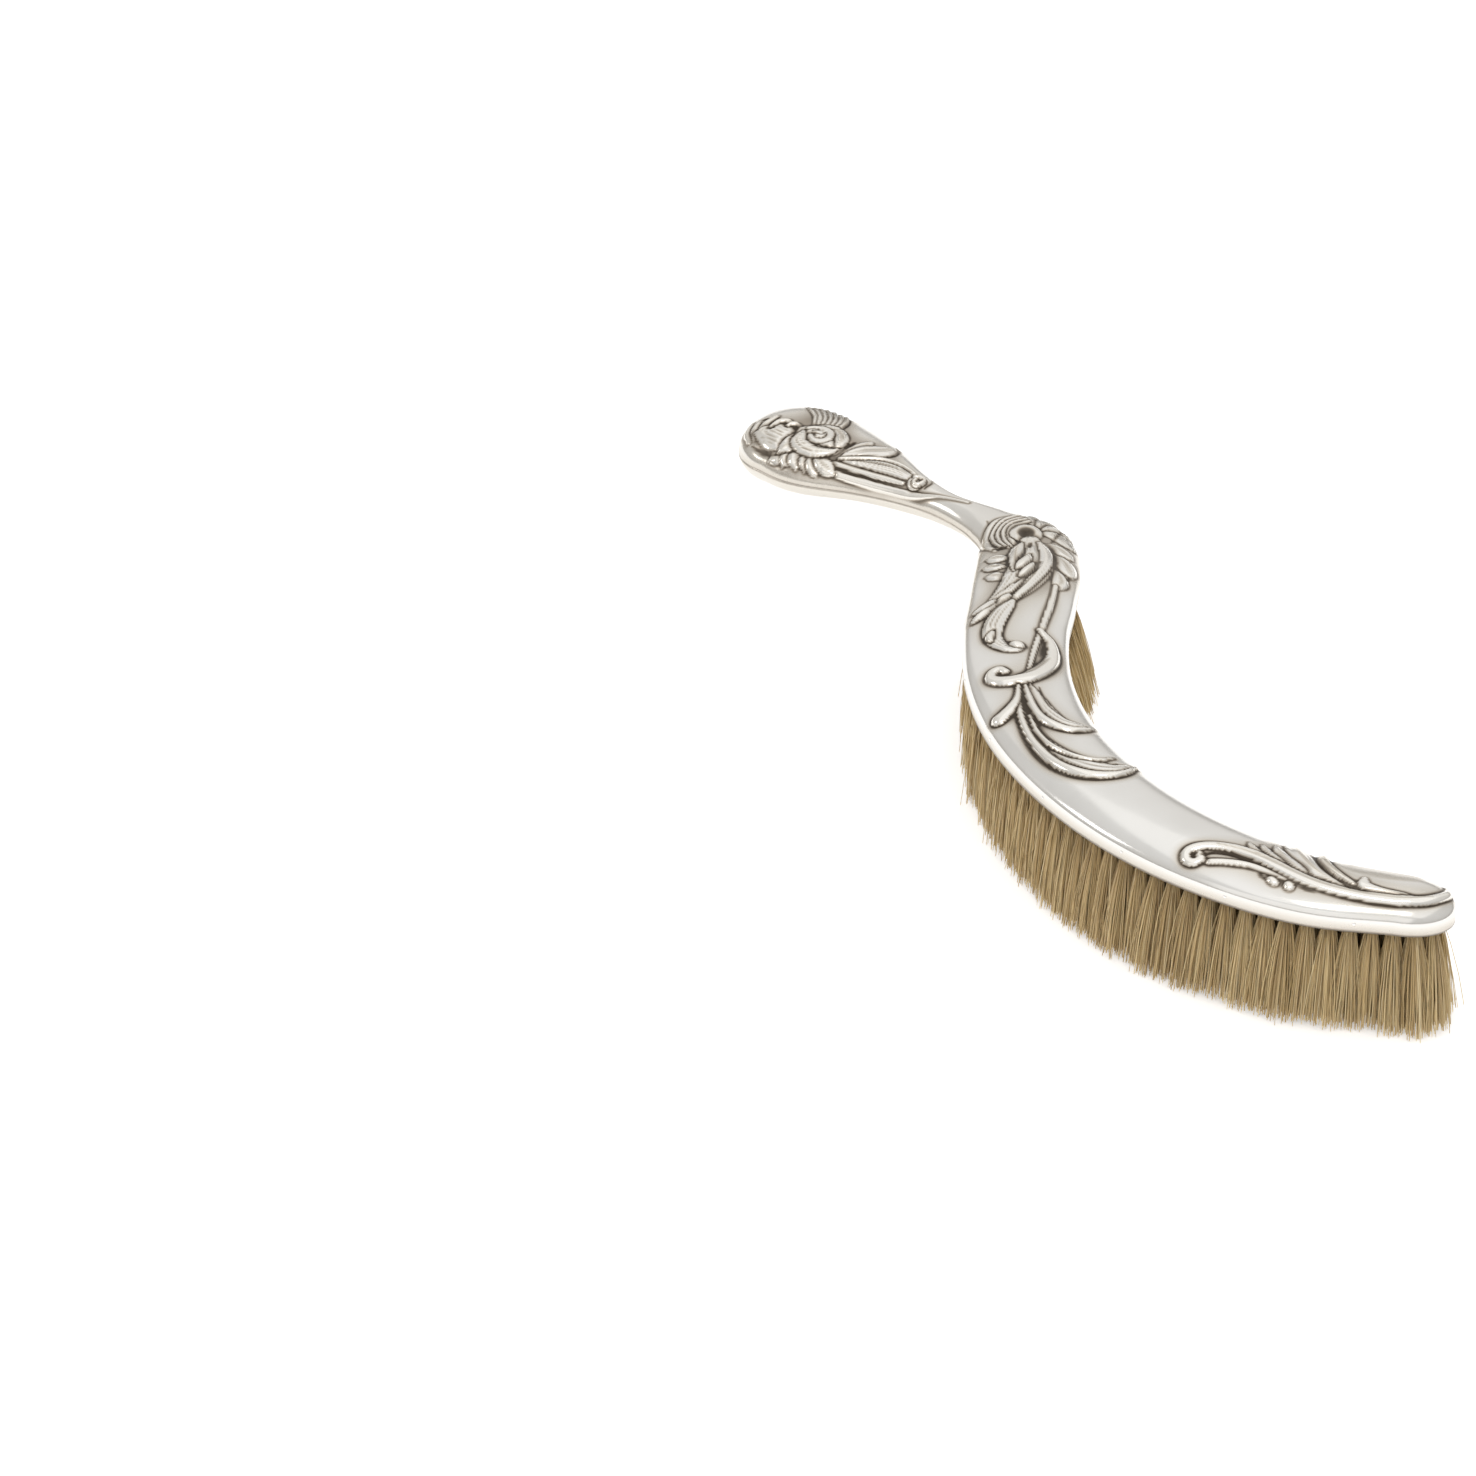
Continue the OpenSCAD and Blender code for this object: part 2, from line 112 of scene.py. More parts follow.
def smooth_curve(points, per_span):
    """A smooth curve through points, with per_span samples between two of them."""
    p = np.asarray(points, float)
    p = np.vstack([2 * p[0] - p[1], p, 2 * p[-1] - p[-2]])
    spans = len(p) - 3
    u = np.linspace(0, spans, spans * per_span + 1)
    i = np.clip(u.astype(int), 0, spans - 1)
    t = (u - i)[:, None]
    a, b, c, d = p[i], p[i + 1], p[i + 2], p[i + 3]
    return (2 * b + (c - a) * t + (2 * a - 5 * b + 4 * c - d) * t ** 2
            + (3 * b - a - 3 * c + d) * t ** 3) / 2


LINE = smooth_curve(STATIONS, 100)
ALONG = np.r_[0, np.cumsum(np.hypot(*np.diff(LINE[:, :2], axis=0).T))]
HEADING = np.gradient(LINE[:, :2], axis=0)
HEADING /= np.hypot(*HEADING.T)[:, None]
END = ALONG[-1]


def ease(x):
    """Rises smoothly from 0 at x = 0 to 1 at x = 1."""
    k = np.clip(x, 0, 1)
    return k * k * (3 - 2 * k)


def at_line(s):
    """Middle, half width and heading of the line at distance s, run on straight past its ends."""
    inside = np.clip(s, 0, END)
    x, y, half = (np.interp(inside, ALONG, LINE[:, k]) for k in range(3))
    tx, ty = (np.interp(inside, ALONG, HEADING[:, k]) for k in range(2))
    n = np.hypot(tx, ty)
    tx, ty = tx / n, ty / n
    return x + (s - inside) * tx, y + (s - inside) * ty, half, tx, ty


def fall(x, power):
    """Falls from 1 in the middle to 0 at the edge; a high power gives a square shoulder."""
    return np.clip(1 - np.clip(x, 0, 1) ** power, 0, None) ** (1 / power)


def top_rise(s, r, thinned=0.0):
    """Height of the struck back over the rim; r is 0 on the crown and 1 at the edge."""
    k = ease((s - TURN_A) / (TURN_B - TURN_A))
    wall = np.interp(np.clip(s, 0, END), ALONG, LINE[:, 3]) - thinned
    n = mix(GRIP_POWER, HEAD_POWER, k)
    return wall * fall(r, n) + mix(GRIP_CROWN, HEAD_CROWN, k) * (1 - r ** 2)


def under_drop(s, r, thinned=0.0):
    """Depth of the handle's lower half under the rim."""
    depth = np.interp(np.clip(s, 0, END), ALONG, LINE[:, 4]) - thinned
    return depth * fall(r, GRIP_POWER)


# ---- relief: what is drawn with --------------------------------------------------

EDGE_SOFT = 0.35
REACH = 2.5
# a trench takes away most of the relief under it and dips below the ground, and a shape laid
# over another rises by a share of its height
TRENCH_CLEARS, TRENCH_DIP, RISE_OVER = 0.85, 0.16, 0.25


class Relief:
    """A height and a tarnish value at each point (s, w) of the silver back.
    s is the distance along the middle line and w the offset to its left."""

    def __init__(self, s, w):
        self.s, self.w = s.ravel(), w.ravel()
        self.h = np.zeros(self.s.size)
        self.dark = np.zeros(self.s.size)

    def near(self, line, reach):
        """The points in the box round a line, made bigger by reach."""
        low, high = line.min(0) - reach, line.max(0) + reach
        return np.flatnonzero((self.s > low[0]) & (self.s < high[0])
                              & (self.w > low[1]) & (self.w < high[1]))

    def measure(self, pick, line):
        """Distance from the line, signed to its left, and the share of its length."""
        p = np.stack([self.s[pick], self.w[pick]], -1)
        a, ab = line[:-1], np.diff(line, axis=0)
        size = np.hypot(*ab.T)
        run = np.r_[0, np.cumsum(size)]
        best = np.full(len(p), 1e9)
        side = np.zeros(len(p))
        share = np.zeros(len(p))
        for k in range(len(a)):
            q = p - a[k]
            t = np.clip(q @ ab[k] / max(size[k] ** 2, 1e-9), 0, 1)
            d = q - t[:, None] * ab[k]
            dist = np.hypot(d[:, 0], d[:, 1])
            closer = dist < best - 1e-9
            best[closer] = dist[closer]
            turn = ab[k][0] * q[:, 1] - ab[k][1] * q[:, 0]
            side[closer] = np.sign(turn[closer])
            share[closer] = (run[k] + t[closer] * size[k]) / run[-1]
        return best, side, share

    def curve(self, points, reach):
        """The points within reach of a curve; their distance, side and share of its length."""
        line = smooth_curve(points, 6)
        pick = self.near(line, reach)
        return pick, *self.measure(pick, line)

    def oval(self, centre, length, width, turn):
        """The points near an oval, and how far out they lie, from 0 in its middle to 1 at its
        edge. Its length is turned from the middle line by so many degrees."""
        pick = self.near(np.array([centre], float), max(length, width) + 2)
        c, n = math.cos(math.radians(turn)), math.sin(math.radians(turn))
        ds, dw = self.s[pick] - centre[0], self.w[pick] - centre[1]
        return pick, np.hypot((ds * c + dw * n) / length, (dw * c - ds * n) / width)

    def lay(self, pick, height, gap, trench, soot_and_shade):
        """Puts a shape over what is there, with a dark trench round it.
        gap is the distance outside its edge. Gives back 1 inside the shape and 0 outside."""
        cover = ease(0.5 - gap / EDGE_SOFT)
        edge = np.exp(-(np.clip(gap, 0, None) / trench) ** 2) * (1 - cover)
        h, dark = self.h[pick], self.dark[pick]
        h = h * (1 - TRENCH_CLEARS * edge) - TRENCH_DIP * edge
        dark = np.maximum(dark, soot_and_shade * edge)
        self.h[pick] = h * (1 - cover) + (RISE_OVER * np.clip(h, 0, None) + height) * cover
        self.dark[pick] = dark * (1 - cover)
        return cover

    def ridge(self, points, widths, height, trench=0.75, soot_and_shade=0.9, round_top=2.2):
        """A rounded ridge along a curve, its half widths spread along it."""
        widest = max(widths)
        pick, d, _, share = self.curve(points, widest + REACH)
        w = np.interp(share, np.linspace(0, 1, len(widths)), widths)
        top = np.clip(1 - np.clip(d / w, 0, 1) ** round_top, 0, 1) ** 0.7
        self.lay(pick, height * (0.45 + 0.55 * w / widest) * top, d - w, trench, soot_and_shade)

    def leaf(self, points, width, height, flutes=0, rib=0.3, trench=0.75, soot_and_shade=0.9, fat=0.45):
        """A leaf or petal along a curve: widest at share fat, with a groove of depth rib along
        its middle and flutes running with it."""
        pick, d, side, share = self.curve(points, width + REACH)
        power = math.log(0.5) / math.log(fat)
        w = width * np.sin(np.pi * np.clip(share, 0.012, 0.988) ** power) ** 0.6
        v = np.clip(side * d / w, -1.2, 1.2)
        dome = np.clip(1 - np.abs(v) ** 2.6, 0, 1) ** 0.6
        grain = 1 - 0.22 * (1 - np.cos(2 * np.pi * flutes * v)) * bool(flutes)
        groove = rib * np.exp(-(v / 0.16) ** 2) * np.sin(np.pi * share)
        top = height * dome * grain * (0.6 + 0.4 * np.sin(np.pi * share))
        cover = self.lay(pick, top - groove * height, d - w, trench, soot_and_shade)
        if rib:
            self.dark[pick] = np.maximum(self.dark[pick], cover * 0.55 * groove / rib)

    def boss(self, centre, length, width, turn, height, trench=0.5, soot_and_shade=0.8):
        """An oval bead."""
        pick, x = self.oval(centre, length, width, turn)
        top = height * np.clip(1 - x ** 2.4, 0, 1) ** 0.6
        self.lay(pick, top, (x - 1) * min(length, width), trench, soot_and_shade)

    def hollow(self, centre, length, width, turn, depth, soot_and_shade=1.0):
        """An oval pit."""
        pick, x = self.oval(centre, length, width, turn)
        self.h[pick] -= depth * ease(1.25 - x)
        self.dark[pick] = np.maximum(self.dark[pick], soot_and_shade * ease((1.15 - x) * 2.5))

    def groove(self, points, width, depth, soot_and_shade=0.9):
        """A chased line, deepest in its middle."""
        pick, d, _, share = self.curve(points, width * 3)
        thin = 0.35 + 0.65 * np.sin(np.pi * np.clip(share, 0.02, 0.98)) ** 0.5
        cut = np.exp(-(d / (width * thin)) ** 2)
        self.h[pick] -= depth * cut
        self.dark[pick] = np.maximum(self.dark[pick], soot_and_shade * cut ** 1.2)

    def fan(self, root, tips, width, height, flutes=1, rib=0.25, fat=0.6, bend=0.0):
        """Petals that spread from one root."""
        root = np.asarray(root, float)
        for tip in tips:
            tip = np.asarray(tip, float)
            across = np.array([-(tip - root)[1], (tip - root)[0]])
            mid = (root + tip) / 2 + across * bend
            self.leaf([root, mid, tip], width, height, flutes, rib, fat=fat)


def curl(centre, r0, r1, start, turns, n=14):
    """Points of a curl: radius r0 to r1 round a centre, from an angle in degrees."""
    out = []
    for k in range(n):
        t = k / (n - 1)
        a = math.radians(start) + turns * 2 * math.pi * t
        r = r0 + (r1 - r0) * t ** 0.8
        out.append((centre[0] + r * math.cos(a), centre[1] + r * math.sin(a)))
    return out


# ---- relief: what is drawn ---------------------------------------------------------

def draw_bulb_flower(R):
    """The large flower and its leaves on the bulb, and the stems down the grip."""
    # fine ribs that fan out over the far side, with a strong edge
    for k in range(7):
        q = k / 6
        R.ridge([mix(np.array([6.6, 0.2]), np.array([13.4, 3.0]), q),
                 mix(np.array([3.0, 4.6]), np.array([11.6, 9.2]), q),
                 mix(np.array([-3.4, 8.4]), np.array([4.6, 17.6]), q)],
                [0.75, 0.95, 0.8, 0.45], 0.7, 0.5, 0.55)
    R.groove([(3.4, 19), (8.6, 14.2), (12.6, 9), (14.3, 3)], 0.7, 0.4)
    # stems down to the neck
    R.ridge([(20, -14.4), (29, -12.4), (37, -9.9), (45, -7.1), (53, -4.6), (60, -1.9), (68, 0.2)],
            [0.8, 0.8, 0.8, 0.7, 0.5, 0.3], 0.6)
    R.ridge([(22, -11.2), (30, -9.3), (38, -6.9), (46, -4.5)], [0.6, 1.1, 1.1, 0.6], 0.7, 0.6)
    R.groove([(45, 8), (49.4, 4.6), (52.6, 1), (53, -2.4)], 0.6, 0.3, 0.7)
    # lower leaves
    R.fan((9, -12), [(4.6, -18.4), (9.6, -18.4), (13.4, -17.6)], 2.6, 0.85, 2, bend=0.08)
    R.fan((14.4, -11), [(16, -17), (19.8, -16.4), (24.6, -13.8)], 2.2, 0.85, 3, bend=-0.05)
    # nested rims round the bud
    R.ridge([(-12.6, -7), (-10.6, -11.8), (-6.4, -15.4)], [0.5, 1.0, 0.6], 0.55)
    R.ridge([(-9.6, -7), (-8.4, -10.8), (-5, -14.4)], [0.6, 1.1, 0.7], 0.65)
    R.ridge([(-6, -3), (-6.2, -7), (-5.8, -10.4), (-3.6, -13.8)], [0.7, 1.2, 1.2, 0.7], 0.8)
    R.hollow((-8.8, -5.2), 1.4, 1.0, 30, 0.3)
    # the bud
    R.leaf([(-6.6, -12.2), (-1.6, -11.2), (3.6, -11.4), (8.6, -13.2)], 5.3, 1.0, 6, 0.0, trench=1.1, fat=0.52)
    R.leaf([(5.6, -5), (6.8, -9), (7.2, -12), (6.2, -15.8)], 2.6, 1.1, 1, 0.15, fat=0.6)
    R.groove([(-4.6, -16.4), (0.4, -17.4), (5, -17), (8.2, -15)], 0.6, 0.4)
    R.ridge([(-3.2, -9), (-3, -5.6), (-0.6, -3.7), (1, -4.8)], [0.6, 0.9, 0.9, 0.6], 0.95)
    R.ridge([(0.8, -6), (1.6, -4), (3.8, -3.6), (5.2, -5)], [0.5, 0.8, 0.8, 0.5], 1.0)
    # the rolled petal
    R.boss((13, -5.4), 8.4, 6.2, -12, 0.95, trench=1.1, soot_and_shade=1.0)
    R.leaf([(8, 0.6), (13.4, 1.8), (18, -1.2), (20, -6.2)], 2.4, 1.1, 2, 0.2, fat=0.5)
    R.leaf([(6.6, -5), (8.8, -10), (13.4, -11), (18, -8.8), (20.4, -6)], 2.5, 1.1, 2, 0.0, fat=0.45)
    R.ridge(curl((11.6, -4.2), 5.0, 1.4, 165, -1.2, 18), [0.8, 1.3, 1.2, 1.0, 0.8], 0.7, 0.35, 0.7)
    R.hollow((9.9, -4.6), 1.3, 0.8, 25, 0.5)
    R.groove([(13.4, -9.4), (16.4, -8.2), (19, -6.6), (20.4, -4.8)], 0.6, 0.45)
    # petals between the roll and the ribbon
    R.leaf([(22.4, -6.4), (24.8, -1.6), (25.4, 4.6)], 2.0, 0.8, 1, 0.2, fat=0.55)
    R.leaf([(23, -7.6), (27.4, -2), (31, 3), (31.4, 9)], 3.2, 0.85, 2, 0.25, fat=0.55)
    R.hollow((21.7, -1.4), 0.8, 3.0, -4, 0.5)
    R.groove([(29.6, 10.6), (33.4, 6), (34.4, 2.6), (33, -0.6)], 0.6, 0.4)
    # ribbon to the small curl
    R.leaf([(21.6, -9.6), (28, -7.4), (34.6, -4.2), (41, -1.7), (48.4, -1.4)], 3.0, 0.9, 4, 0.25, fat=0.66)
    R.ridge([(23, -9), (29, -5.2), (35, -1), (40.6, 0.6), (46.4, 0.4)], [0.5, 0.7, 0.8, 0.7, 0.5], 0.95, 0.5)
    R.boss((49.2, -2.4), 2.5, 2.4, 0, 0.95)
    R.ridge(curl((49.4, -1.8), 2.3, 0.9, 150, -0.95, 12), [0.9, 0.9, 0.8, 0.6], 1.0, 0.45)
    R.hollow((50, -1), 0.8, 0.6, 20, 0.4)


def draw_neck_lines(R):
    """Chased lines where the neck meets the flower."""
    R.groove([(84.4, 5.4), (86.4, 2.4), (87.2, -1.6)], 0.7, 0.3, 0.7)
    R.groove([(79.6, -4.2), (82.8, -6), (85, -8.6)], 0.5, 0.2, 0.5)
    R.groove([(82, 3.4), (83.4, 0.6), (83.6, -2.4)], 0.4, 0.15, 0.4)


def draw_shoulder_flower(R):
    """The open flower where the handle turns into the head."""
    R.fan((95.4, 3.4), [(85, 9.4), (89.6, 12.4), (95.4, 13.8), (101.4, 13.4)], 2.5, 0.75, 3, 0.0,
          fat=0.62, bend=0.12)
    R.groove([(91, 13.4), (95.4, 9.6), (100.6, 6.4)], 0.6, 0.3)
    R.leaf([(101.4, 4.6), (104.4, 8.6), (109, 12.6)], 2.5, 0.8, 2, 0.3, fat=0.6)
    R.leaf([(108.4, 7.4), (113.6, 10.6), (119.6, 13)], 2.9, 0.8, 2, 0.3, fat=0.6)
    R.leaf([(118.4, 8), (123.6, 10.2), (129.6, 9.4)], 2.3, 0.75, 2, 0.3, fat=0.55)
    R.hollow((109.4, 10.4), 0.7, 1.7, -35, 0.35)
    R.hollow((121, 12.2), 1.8, 0.7, -20, 0.3)
    # ripples under the eye of the flower
    R.ridge([(83.6, 2), (82.8, -4), (86, -9.4), (93, -11.8), (101, -12), (106.6, -9.6)],
            [0.5, 1.2, 1.5, 1.5, 1.3, 0.6], 0.6, 1.0)
    for k, (left, low, tall) in enumerate(((84.6, -9.6, 0.75), (86.4, -8.1, 0.85), (88, -6.6, 0.95),
                                           (89.6, -5.1, 1.05))):
        R.ridge([(left - 0.4, 4.6 - k * 0.3), (left, low * 0.35), (left + 4.4 - k * 0.6, low + 0.9),
                 (97, low), (101.6, low + 0.6), (105.4, low + 2.4)],
                [0.5, 0.85, 0.9, 0.9, 0.85, 0.45], tall, 0.5, 0.75)
    R.boss((95.6, -0.2), 5.6, 4.7, -6, 1.0, trench=0.8)
    R.hollow((95.8, -0.2), 3.4, 2.7, -8, 1.0)
    # scallops, near side
    for s, w, size in ((112.6, -11.8, 3.0), (118.8, -12.4, 2.3), (124.8, -11, 2.4)):
        R.leaf([(s + 0.6, w + 7), (s + 0.4, w + 3.4), (s - 0.4, w)], size, 0.9, 2, 0.2, fat=0.62)
    R.hollow((105.4, -8.2), 1.0, 2.6, 14, 0.3)
    # the bud, which runs out in long feathers to the near side
    R.leaf([(100.4, 0.6), (111, 1.4), (123, 0.6), (134, -2.6), (142, -6.6), (149, -11.4)],
           6.4, 1.0, 4, 0.0, trench=1.1, soot_and_shade=1.0, fat=0.3)
    R.leaf([(102, 3.2), (109, 5), (118, 4.9), (128, 2.4), (138, -1.2), (146, -5)], 1.9, 1.15, 1, 0.0, fat=0.3)
    R.leaf([(102.4, -2), (108, -3.4), (115, -3.6), (123, -3.4)], 1.9, 1.2, 1, 0.2, fat=0.45)
    R.leaf([(111, 0.6), (116, -0.6), (121.6, -2.6)], 1.7, 1.3, 0, 0.0, fat=0.6)
    R.leaf([(117, 2), (121.6, 0.8), (126.4, -1.4)], 1.4, 1.25, 0, 0.0, fat=0.55)
    R.hollow((104.2, 0.3), 2.2, 0.8, -8, 0.7)
    R.groove([(106, -0.6), (110, -1.4), (114, -2.6), (118, -3.4)], 0.6, 0.4)
    R.groove([(116, 3.6), (122, 2.4), (127, -0.2), (130.6, -2.6)], 0.7, 0.5)
    R.groove([(124, 3), (130, 0.6), (136, -2.6), (141, -6.4)], 0.45, 0.35, 0.7)
    R.groove([(128, -1.6), (133, -4.2), (138, -7.6)], 0.45, 0.3, 0.6)


def draw_side_ribbon(R):
    """The feathers' ends on the near side."""
    R.leaf([(136.6, -3), (140.4, -5), (143.4, -8.6)], 1.5, 1.05, 0, 0.0)
    R.leaf([(141, -6.6), (145.4, -9), (149.6, -12.6)], 1.8, 1.0, 1, 0.0, fat=0.5)
    R.leaf([(139.4, -6.8), (142.4, -9.6), (145, -12.8)], 1.4, 0.85, 1, 0.0)
    R.groove([(141.6, -3), (143.4, -5), (145.4, -7.4)], 0.6, 0.5)


def draw_loop(R):
    """The stems, the hook and the open loop on the middle of the head."""
    R.ridge([(128, 9), (138, 8.8), (148, 7.9), (158, 6.4), (166, 4.9), (174, 3.2), (181, 1.4)],
            [0.8, 0.9, 0.8, 0.7, 0.5], 0.65)
    R.leaf([(140.6, -2), (147, -4.6), (154, -6.4), (161, -6.4), (166.4, -3.6), (168, -0.4), (166.4, 2)],
           2.9, 1.0, 2, 0.0, trench=0.9, fat=0.36)
    R.leaf([(163, -7), (160.4, -7.4), (157, -6.4)], 1.2, 1.0, 0, 0.0)
    R.boss((165.2, 0), 2.2, 1.7, 60, 1.05)
    R.hollow((163.5, -1.8), 1.0, 0.6, 60, 0.45)
    R.ridge([(155.4, 6.4), (161, 9.3), (167, 10), (173, 8.9), (178.4, 6), (182.6, 2), (184.2, -2),
             (183.6, -6), (181.2, -8.5), (178.2, -8), (177.3, -5.9), (179, -4.5)],
            [0.9, 1.5, 1.7, 2.0, 2.3, 2.5, 2.5, 2.1, 1.5, 1.2], 1.15, round_top=3)
    R.hollow((166.4, 7), 5.6, 0.9, -12, 0.2, 0.85)
    R.groove([(172, 8.2), (177, 5.4), (180.6, 2.4), (182, -1), (181.8, -4.4)], 0.5, 0.3, 0.6)
    R.hollow((180.4, -6.3), 0.8, 0.6, 0, 0.4)


def draw_long_leaves(R):
    """Two leaves that roll back at their ends, and a small club-ended one."""
    R.leaf([(187.6, -2.4), (199, -4.8), (211, -6.4), (223, -5.4), (232, -1.6), (236, 4), (235, 11)],
           4.3, 1.0, 2, 0.0, trench=0.9, fat=0.74)
    R.ridge([(189, -2.8), (200, -5.6), (211, -7.2), (221, -7.5), (229, -6.2), (235.4, -2.6),
             (238.4, 2.2), (238, 7), (235.4, 11)], [0.5, 0.8, 1.0, 1.3, 1.5, 1.3, 0.6], 1.15)
    R.ridge([(202, -3.6), (212, -4.9), (220, -4), (226.6, -1), (230, 3.2), (229.6, 8)],
            [0.4, 0.7, 0.8, 0.7, 0.4], 0.95)
    R.hollow((233.2, 6), 0.7, 1.7, 30, 0.35)
    R.leaf([(187, 0.8), (194, 0.6), (202, 0.7), (209, 3.4), (212, 10.4)], 3.3, 1.0, 2, 0.0, fat=0.55)
    R.ridge([(187.6, -0.6), (196, -1.3), (204, -1.4), (209.6, 0.6), (212.8, 4), (212.8, 8.4), (211, 11)],
            [0.6, 0.9, 1.2, 1.4, 1.2, 0.5], 1.1)
    R.hollow((206.8, 5.2), 1.3, 0.7, 20, 0.4)
    R.groove([(188.4, 3.2), (195, 2.6), (201, 3), (206, 5)], 0.6, 0.35)
    R.ridge([(187, -2.4), (192.4, -4), (196.4, -6.8), (198.6, -9.6), (199.2, -11)],
            [0.5, 0.8, 1.1, 1.7, 2.1], 1.05, round_top=2.6)


def draw_tip(R):
    """The scroll that runs round the tip, with its petals."""
    R.hollow((320.6, 5.4), 11.4, 4.8, -3, 0.2, 0.3)
    R.leaf([(292.4, 14), (295.2, 10), (299, 5), (303.4, 0.6), (308, -2.4), (313, -4.6)], 3.1, 1.0, 1, 0.2,
           trench=1.0, fat=0.2)
    R.leaf([(303.6, 13.4), (304.4, 8), (306.8, 3.6), (310.4, 0.2), (316, -3.6)], 1.7, 1.0, 0, 0.3, fat=0.3)
    R.groove([(300.4, 13), (301.6, 8.8), (304, 4.6), (307.4, 0.8), (311.4, -2.4)], 0.7, 0.4)
    R.groove([(306.8, 12.6), (307.2, 8), (309.2, 3.8), (312.6, 0), (316.4, -2.4)], 1.1, 0.35, 0.85)
    R.leaf([(303.6, -2.6), (296, 1.4), (290.4, 7)], 1.8, 0.8, 1, 0.3, fat=0.5)
    R.leaf([(298.6, -2), (292, 1), (287.6, 5)], 1.4, 0.75, 1, 0.2, fat=0.5)
    R.leaf([(293, -1.4), (288, 0.8), (284.4, 3.6)], 1.2, 0.65, 0, 0.2, fat=0.5)
    R.leaf([(317, -0.4), (317.4, -3), (322, -4.5), (330, -4)], 1.6, 0.85, 0, 0.0, fat=0.25)
    R.ridge([(280.4, -8.4), (284, -6.7), (289, -5.3), (294, -5.1), (300, -6)], [0.9, 1.0, 0.8, 0.5], 0.8)
    R.boss((296.6, -7.6), 1.7, 1.1, -24, 0.75)
    R.boss((300.6, -7.6), 1.5, 1.2, -60, 0.75)
    R.hollow((293.6, -7.2), 1.5, 0.7, -30, 0.2, 0.8)
    R.hollow((304.6, -7.4), 2.4, 0.6, -8, 0.2, 0.8)
    R.ridge([(335.4, 9), (337.6, 5), (336.8, 0.4), (333, -3.9), (327, -6), (319, -6.4), (311, -5.8),
             (303, -4.4), (296, -2.6), (290, -1.3), (284, -1.2), (278.6, -3), (275.2, -5.6), (274, -8.3),
             (275.1, -10.3), (277.2, -10.2), (278.1, -8.6), (276.8, -7.5)],
            [0.9, 1.2, 1.4, 1.4, 1.4, 1.5, 1.7, 1.8, 1.7, 1.4, 1.2, 1.0], 0.95, round_top=2.6)
    R.hollow((276.2, -7.9), 0.6, 0.6, 0, 0.3)
    R.groove([(279, -2.6), (285, -1.4), (292, -1.6), (300, -3.2), (308, -4.9), (318, -5.7), (328, -5.2),
              (334, -2.4)], 0.4, 0.2, 0.45)
    R.groove([(288, -0.6), (296, -2.0), (304, -4.0), (312, -5.2)], 0.35, 0.15, 0.35)
    R.groove([(277.6, -7.6), (279.6, -5.4), (283.4, -3.9), (288.4, -3.5), (293, -3.9)], 0.6, 0.4)


ORNAMENTS = (draw_bulb_flower, draw_neck_lines, draw_shoulder_flower, draw_side_ribbon, draw_loop,
             draw_long_leaves, draw_tip)

# ---- meshes ------------------------------------------------------------------------


FINE = 0.42
PLAIN_RING, UNDER_RING = 1.1, 1.2
BACK_COLUMNS = 88
UNDER_COLUMNS, INNER_COLUMNS, UNDER_INNER_COLUMNS = 40, 12, 16
END_CROWDING = 1.3
SOFTEN_RELIEF, SOFTEN_SOOT = 0.25, 0.3
GRIP_FOOT, HEAD_FOOT = 0.93, 0.985


def ring_places(fine, plain, plain_from=246.0, plain_to=268.0):
    """Distances along the line, and for the ends the angle round them: (s, angle, which end)."""
    n = round(BUTT_ROUND * STATIONS[0, 2] * END_CROWDING / fine)
    rows = [(0.0, 90 * (1 - k / n), -1) for k in range(n + 1)]
    s = fine
    while s < END - fine * 0.5:
        rows.append((s, 0.0, 0))
        s += plain if plain_from < s < plain_to else fine
    n = round(TIP_ROUND * STATIONS[-1, 2] * END_CROWDING / fine)
    return rows + [(END, 90 * k / n, 1) for k in range(n + 1)]


def ring_s(rows, inset):
    """For each ring: its distance s, the half width of its section, how far round an end it
    lies, and the half width of the body there."""
    s0 = np.array([r[0] for r in rows])
    angle = np.radians([r[1] for r in rows])
    way = np.array([r[2] for r in rows])
    half = at_line(s0)[2] - inset
    stretch = np.where(way < 0, BUTT_ROUND, TIP_ROUND)
    s = s0 + way * half * stretch * np.sin(angle)
    return s, half * np.where(way == 0, 1, np.cos(angle)), np.where(way == 0, 0, np.sin(angle)), half


def even_columns(rise, s, width, e, half, count):
    """Offsets across each ring, from right to left, that share its section out evenly."""
    q = 1 - (1 - np.linspace(0, 1, 160)) ** 2.6
    w = width[:, None] * q
    z = rise(s[:, None], from_crown(w, e, half))
    run = np.cumsum(np.hypot(np.diff(w), np.diff(z)), axis=1)
    run = np.hstack([np.zeros((len(s), 1)), run])
    side = count // 2
    out = np.zeros((len(s), 2 * side + 1))
    for i in np.flatnonzero(width > 1e-6):
        right = np.interp(np.linspace(0, run[i, -1], side + 1), run[i], w[i])
        out[i] = np.r_[-right[::-1], right[1:]]
    return out


def from_crown(w, e, half):
    """How far out a point of a ring lies, from 0 on the crown to 1 at the edge."""
    return np.sqrt(np.clip(e[:, None] ** 2 + (w / half[:, None]) ** 2, 0, 1))


def place(s, w, z):
    """The point at distance s along the middle line, w to its left, at height z."""
    x, y, _, tx, ty = at_line(s)
    return np.stack([x - ty * w, y + tx * w, z], -1)


def grid_normals(p):
    """The normal at each point of a grid of points."""
    n = np.cross(np.gradient(p, axis=0), np.gradient(p, axis=1))
    size = np.linalg.norm(n, axis=-1, keepdims=True)
    return n / np.maximum(size, 1e-9)


